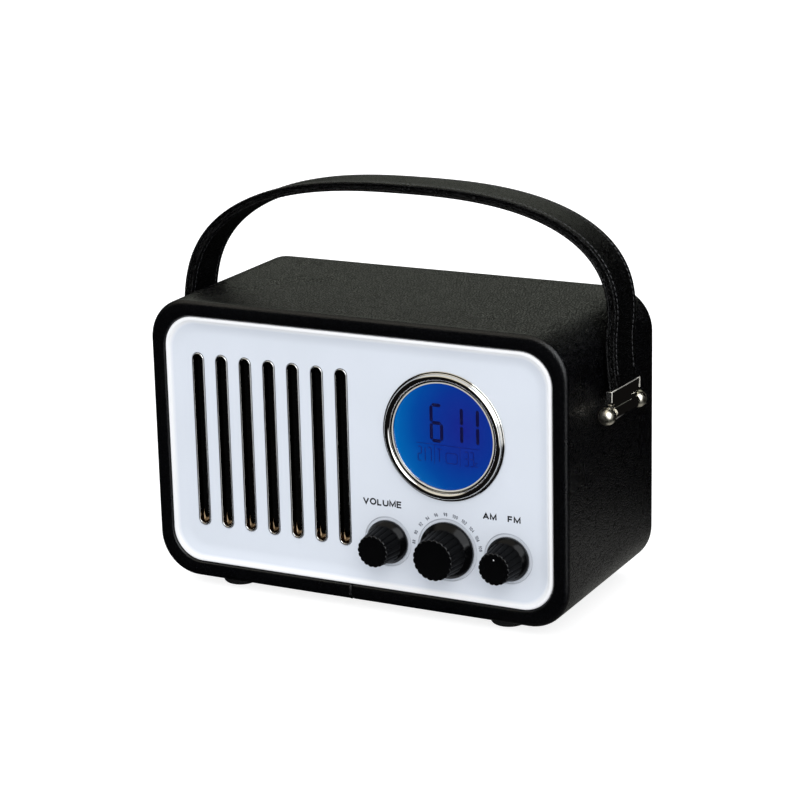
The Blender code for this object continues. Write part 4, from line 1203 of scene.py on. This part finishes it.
def make_clip(side, sign):
    """Crimped plate over the strap's end, on a barrel that holds the pin."""
    centre = clip_centre(sign)

    def upright(half_x, half_y, low, high, bevel=0.0):
        corners = Vector((-half_x, -half_y, low)), Vector((half_x, half_y, high))
        return block(*[centre + corner for corner in corners], bevel)

    thick = 0.0031 / 2
    plate = upright(thick, 0.01725, 0.0046, 0.0113, 0.0005)
    neck = upright(thick - 0.0001, 0.0134, 0, 0.0058)
    slot = upright(0.0010, 0.0128, 0.0068, 0.0133)
    radius, half = 0.00325, 0.0138
    end = [(radius, half - 0.0004), (radius - 0.0001, half - 0.0001), (radius - 0.0004, half)]
    barrel = turned(centre, "Y", [(r, -d) for r, d in reversed(end)] + end, 48)
    pin_bore = rod(centre, "Y", 0.0023, -half - 0.002, half + 0.002)
    post_hole = rod(centre, "X", 0.0028, *sorted((-sign * 0.006, -sign * 0.0005)))
    body = combined(plate, [neck, barrel], [joined([slot, pin_bore]), post_hole])
    piece(f"strap_clip_{side}", leaned(body), "chrome", "handle", [f"clip_{side}"], sharp=40.0)


def make_clip_edge(side, sign):
    """Pale bead along the top and both ends of a clip's plate: a painted highlight on its edge."""
    wire, thick = 0.00026, 0.00145
    low, high, half, corner = 0.0062, 0.01115, 0.01708, 0.0004
    path = [(-half, low), (-half, high - corner), (-half + corner, high)]
    path += [(-y, z) for y, z in reversed(path)]
    rings = []
    for one, other in ribbon([Vector(point) for point in path], 2 * wire):
        middle, across = (one + other) / 2, (one - other) / 2
        centre = clip_centre(sign) + Vector((sign * thick, middle.x, middle.y))
        width, height = Vector((0, across.x, across.y)), Vector((sign * wire, 0, 0))
        rings.append(hoop(centre, width, height, 1.0, 8))
    piece(f"clip_highlight_{side}", leaned(loft(rings)), "painted_highlight", "handle", sharp=60.0)


def make_pin(side, sign):
    """Straight pin with a collar and a ball at each end."""
    reach, ball, shaft, collar = 0.0190, 0.00425, 0.0020, 0.0027
    open_angle = math.degrees(math.asin(shaft / ball))
    profile = arc((0, -reach), ball, -87, 90 - open_angle, 22)
    profile += [
        (shaft, -0.01525),
        (collar - 0.0001, -0.01515),
        (collar, -0.01495),
        (collar, -0.01445),
        (collar - 0.0001, -0.01425),
        (shaft, -0.01415),
    ]
    profile += [(r, -d) for r, d in reversed(profile)]
    pin = leaned(turned(clip_centre(sign), "Y", profile, 48))
    piece(f"ball_pin_{side}", pin, "ball_nickel", "handle", [f"handle_pin_{side}"], 45.0)


# ---------------------------------------------------------------- back


def make_cover():
    """Back cover with its openings and blind vent grooves."""
    edge = ((0.0009, 0.0), (0.0004, 0.00012), (0.0, 0.0005), (0.0, COVER_THICKNESS))
    rings = [opening_ring(inset, PANEL_RADIUS - inset, COVER_FACE - drop) for inset, drop in edge]
    near, far = COVER_INNER - 0.003, COVER_FACE + 0.003
    ledge = COVER_FACE - COVER_THICKNESS / 2
    wide, tall = BAY_WIDTH + 2 * DOOR_LAP, BAY_TALL + 2 * DOOR_LAP
    door_cut = slab(BAY_X, BAY_HEIGHT, wide, tall, 0.002, ledge, far, 5)
    bay_cut = slab(BAY_X, BAY_HEIGHT, BAY_WIDTH, BAY_TALL, 0.001, near, far, 4)
    cuts = []
    radius = BUTTON_RADIUS + GAP
    for x in BUTTON_X.values():
        profile = [(radius, near), (radius, COVER_FACE - 0.0004), (radius + 0.0008, far)]
        cuts.append(turned(at(x, 0, BUTTON_HEIGHT), "Y", profile, 32))
    seat = COVER_FACE - 0.0010
    for place in screw_places().values():
        profile = [(0.0017, near), (0.0017, seat), (0.0034, seat), (0.0034, far)]
        cuts.append(turned(place, "Y", profile, 32))
    # x, height and radius of the holes for the two sockets and the antenna's seat
    holes = ((-0.080, 0.026, 0.0042), (-0.062, 0.026, 0.0034), (ANTENNA_X, ANTENNA_HEIGHT, 0.0033))
    cuts += [rod(at(x, 0, height), "Y", bore, near, far) for x, height, bore in holes]
    for i in range(7):
        cuts.append(slab(-0.050, 0.040 + 0.0055 * i, 0.052, 0.0024, 0.00115, COVER_FACE - 0.0012, far))
    cover = combined(loft(rings), cut=[door_cut, bay_cut, joined(cuts)])
    piece("rear_cover", cover, "black_plastic", replaces=["back_cover"], sharp=30.0)


def make_battery_door():
    """Flat door with a bevelled face and a patch of finger grooves."""
    width = BAY_WIDTH + 2 * (DOOR_LAP - GAP)
    tall = BAY_TALL + 2 * (DOOR_LAP - GAP)
    inner = COVER_FACE - COVER_THICKNESS / 2 + GAP
    rings = []
    for inset, depth in ((0.0, inner), (0.0, COVER_FACE - 0.0003), (0.0003, COVER_FACE)):
        size = (width - 2 * inset, tall - 2 * inset, 0.0018 - inset / 2)
        rings.append(plate_ring(BAY_X, BAY_HEIGHT, *size, depth, 6))
    grooves = []
    for i in range(6):
        height = BAY_HEIGHT + tall / 2 - 0.0050 - i * 0.0018
        low = at(BAY_X - 0.010, COVER_FACE - 0.00035, height - 0.0004)
        high = at(BAY_X + 0.010, COVER_FACE + 0.001, height + 0.0004)
        grooves.append(block(low, high))
    door = combined(loft(rings), cut=[joined(grooves)])
    piece("battery_cover", door, "black_plastic", "battery_door", ["battery_door"], sharp=30.0)


def screw_places():
    places = {}
    for level, height in (("lower", 0.0165), ("upper", 0.1235)):
        for side, sign in (("left", -1), ("right", 1)):
            places[f"cover_screw_{level}_{side}"] = at(sign * 0.092, 0, height)
    return places


def make_screws():
    """Pan-head screws with a cross recess."""
    shank, rim = 0.0014, 0.0031
    head = COVER_FACE - 0.0007
    profile = [(shank, COVER_FACE - 0.009), (shank, head), (rim, head)]
    profile += [(rim * c, head + 0.0013 * s) for c, s in arc((0, 0), 1, 15, 75, 4)]
    for name, place in screw_places().items():
        arms = []
        for half_x, half_z in ((0.0017, 0.00028), (0.00028, 0.0017)):
            low = place + Vector((-half_x, head + 0.0004, -half_z))
            high = place + Vector((half_x, head + 0.0030, half_z))
            arms.append(block(low, high))
        screw = combined(turned(place, "Y", profile, 36), cut=arms)
        piece(f"{name}_head", screw, "steel", replaces=[name], sharp=35.0)


def make_buttons():
    """Four setting buttons with dished tops."""
    flange = COVER_INNER - GAP
    rim = BUTTON_RADIUS + 0.001
    top = COVER_FACE + 0.0014
    profile = [(rim, flange - 0.001), (rim, flange), (BUTTON_RADIUS, flange)]
    profile += arc((BUTTON_RADIUS - 0.0005, top - 0.0005), 0.0005, 0, 90, 5)
    profile += [(0.0019, top - 0.00012), (0.0010, top - 0.00024), (0.0003, top - 0.00027)]
    for name, x in BUTTON_X.items():
        button = turned(at(x, 0, BUTTON_HEIGHT), "Y", profile, 40)
        piece(f"{name}_key", button, "knob_black", f"{name}_button", [f"{name}_button"], sharp=35.0)


def tube_profile(radius, bore, near, far):
    """A tube with a groove before its rolled far end."""
    roll, groove = 0.0003, 0.00016
    return [
        (radius - 0.0004, near),
        (radius - 0.0001, near + 0.0002),
        (radius, near + 0.0006),
        (radius, far - 0.0030),
        (radius - groove, far - 0.0028),
        (radius - groove, far - 0.0024),
        (radius, far - 0.0022),
        (radius, far - roll),
        (radius - roll / 3, far - roll / 3),
        (radius - roll, far),
        (bore, far),
        (bore, near + 0.003),
    ]


def make_antenna():
    """Three polished tubes: a drilled tongue on the outer one, a domed tip on the inner one."""
    low, high = (Vector(corner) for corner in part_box("antenna_tube_outer"))
    pivot = Vector((ANTENNA_X, (low.y + high.y) / 2, (low.z + high.z) / 2))
    start, end = 0.0044, ANTENNA_LENGTH
    reach = end + 0.0008
    corners = Vector((-0.0018, -0.0018, -0.0013)), Vector((start + 0.001, 0.0018, 0.0013))
    tongue = block(*[pivot + corner for corner in corners], 0.0003)
    outer = turned(pivot, "X", tube_profile(0.0028, 0.0022, start, end), 40)
    outer = combined(outer, [tongue], [rod(pivot, "Z", 0.0011, -0.004, 0.004, 24)])
    middle = turned(pivot, "X", tube_profile(0.0021, 0.0016, start + 0.004, reach), 40)
    rod_radius, knob_radius, tip = 0.0015, 0.0028, reach + GAP
    profile = [(rod_radius, start + 0.009), (rod_radius, tip), (knob_radius - 0.0004, tip)]
    profile += [(knob_radius, tip + 0.0005)] + arc((0.0010, tip + 0.0037), 0.0018, 0, 80, 7)
    inner = turned(pivot, "X", profile, 40)
    for name, tube in (("outer", outer), ("middle", middle), ("inner", inner)):
        piece(f"pole_{name}", tube, "chrome", f"antenna_{name}", [f"antenna_tube_{name}"], sharp=35.0)


# ---------------------------------------------------------------- carried-over nodes


def finish_nodes():
    """Every CAD node that still shows, or could, gets its slot's procedural surface."""
    slots = {part["node"]: part["material_slot"] for part in frame["record"]["subparts"]}
    for name, item in frame["nodes"].items():
        if item.type == "MESH":
            item.data.materials.clear()
            item.data.materials.append(MATERIALS[slots[name]])


# ---------------------------------------------------------------- stage


def aimed(item, place, target):
    """Turns a camera or a light towards a target."""
    item.location = place
    item.rotation_mode = "QUATERNION"
    item.rotation_quaternion = (Vector(target) - Vector(place)).to_track_quat("-Z", "Y")


def make_camera():
    """Long lens from the front right, a little above and rolled slightly."""
    data = bpy.data.cameras.new("camera")
    data.lens = 117.0
    data.sensor_width = 36.0
    camera = put("camera", data)
    aimed(camera, at(0.5580, -1.0301, 0.4339), at(0.0100, 0.0300, 0.0932))
    camera.rotation_quaternion @= Quaternion((0, 0, 1), math.radians(-1.36))
    bpy.context.scene.camera = camera


def make_disc(name, radius, segments, place, unseen_by):
    """A flat round piece of the stage, which some kinds of ray pass through."""
    bm = bmesh.new()
    bmesh.ops.create_circle(bm, cap_ends=True, segments=segments, radius=radius)
    item = put(name, as_mesh(bm, name))
    item.location = place
    for ray in unseen_by:
        setattr(item, f"visible_{ray}", False)
    return item


def make_floor():
    """The white floor, and what glossy surfaces see of it: a pool beside the radio."""
    level = CAD_BOX[0][2]
    floor = make_disc("floor", 9.0, 96, (0, 0, level - 0.0002), ("glossy", "diffuse", "transmission"))
    floor.data.materials.append(MATERIALS["floor_white"])
    hidden = ("camera", "diffuse", "transmission", "shadow")
    sheen = make_disc("floor_sheen", 0.14, 64, (0.125, 0.045, level - 0.0001), hidden)
    sheen.data.materials.append(MATERIALS["floor_sheen"])


GLOSSY_PATCHES = (
    # direction, the cosines where it fades in and where it is full, colour
    ((0.62, -0.55, 0.56), 0.86, 0.89, (3.2, 3.3, 3.4)),
    ((0.81, -0.57, -0.04), 0.94, 0.970, (1.5, 1.53, 1.56)),
    ((-0.30, -0.35, 0.88), 0.76, 0.88, (0.86, 0.81, 0.70)),
    ((-0.38, 0.71, 0.59), 0.84, 1.00, (0.74, 0.78, 0.67)),
    ((-0.95, -0.10, 0.25), 0.90, 0.96, (0.03, 0.03, 0.03)),
)
GLOSSY_BASE = (0.006, 0.0055, 0.0052)


def make_world():
    """Even pale light for diffuse surfaces, and a studio of soft panels for gloss."""
    world = bpy.data.worlds.new("studio")
    world.use_nodes = True
    world.cycles.sampling_method = "NONE"
    bpy.context.scene.world = world
    world.node_tree.nodes.clear()
    w = Wiring(world.node_tree)
    direction = w.add("ShaderNodeTexCoord", {}).outputs["Generated"]
    paths = w.add("ShaderNodeLightPath", {}).outputs

    def background(colour, strength=1.0):
        return w.add("ShaderNodeBackground", {"Color": colour, "Strength": strength}).outputs["Background"]

    def chosen(ray, others, shown):
        """One background for a kind of ray and another for all others."""
        return w.add("ShaderNodeMixShader", {"Fac": paths[ray], 1: others, 2: shown}).outputs["Shader"]

    gloss = GLOSSY_BASE
    for heading, fade, full, colour in GLOSSY_PATCHES:
        cosine = w.vector("DOT_PRODUCT", {0: direction, 1: Vector(heading).normalized()}, "Value")
        patch = w.vector("SCALE", {0: colour, "Scale": w.span(cosine, fade, full, smooth=True)})
        gloss = w.vector("ADD", {0: gloss, 1: patch})
    unlit = chosen("Is Diffuse Ray", background(gloss), background((0.93, 0.96, 1.0, 1.0), 0.58))
    lit = chosen("Is Camera Ray", unlit, background((1.0, 1.0, 1.0, 1.0)))
    w.add("ShaderNodeOutputWorld", {"Surface": lit})


LIGHTS = (
    # name, place, size, power, colour
    ("key", (0.8, -1.3, 1.1), 1.2, 13.8, (1.0, 0.99, 0.98)),
    ("front", (0.15, -1.4, 0.28), 0.5, 2.2, (0.98, 0.99, 1.0)),
    ("overhead", (-0.2, 0.1, 1.7), 1.6, 14.0, (1.0, 1.0, 1.0)),
    ("rear", (-0.9, 1.4, 1.1), 1.2, 14.0, (1.0, 1.0, 1.0)),
    ("fill", (-0.9, -1.3, 0.4), 1.2, 3.0, (0.92, 0.96, 1.0)),
)


def make_lights():
    """Soft panels for the diffuse surfaces; gloss shows the world's patches instead."""
    for name, place, size, power, colour in LIGHTS:
        data = bpy.data.lights.new(name, "AREA")
        data.size = size
        data.energy = power
        data.color = colour
        light = put(name, data)
        aimed(light, place, (0.0, 0.0, 0.08))
        light.visible_glossy = False
        light.visible_transmission = False


# ---------------------------------------------------------------- assembly


make_camera()
finish_nodes()
make_wrap()
make_seam_stitches()
make_feet()
make_panel()
make_slot_rims()
make_bezel()
for knob, (knob_x, knob_radius, knob_lobes) in KNOBS.items():
    make_knob(knob, knob_x, knob_radius, knob_lobes)
make_pointer()
make_lettering()
make_display()
make_strap()
for clip_side, clip_sign in (("left", -1), ("right", 1)):
    make_clip(clip_side, clip_sign)
    make_clip_edge(clip_side, clip_sign)
    make_pin(clip_side, clip_sign)
make_cover()
make_battery_door()
make_screws()
make_buttons()
make_antenna()
make_floor()
make_world()
make_lights()
bpy.context.scene.view_settings.view_transform = "Standard"
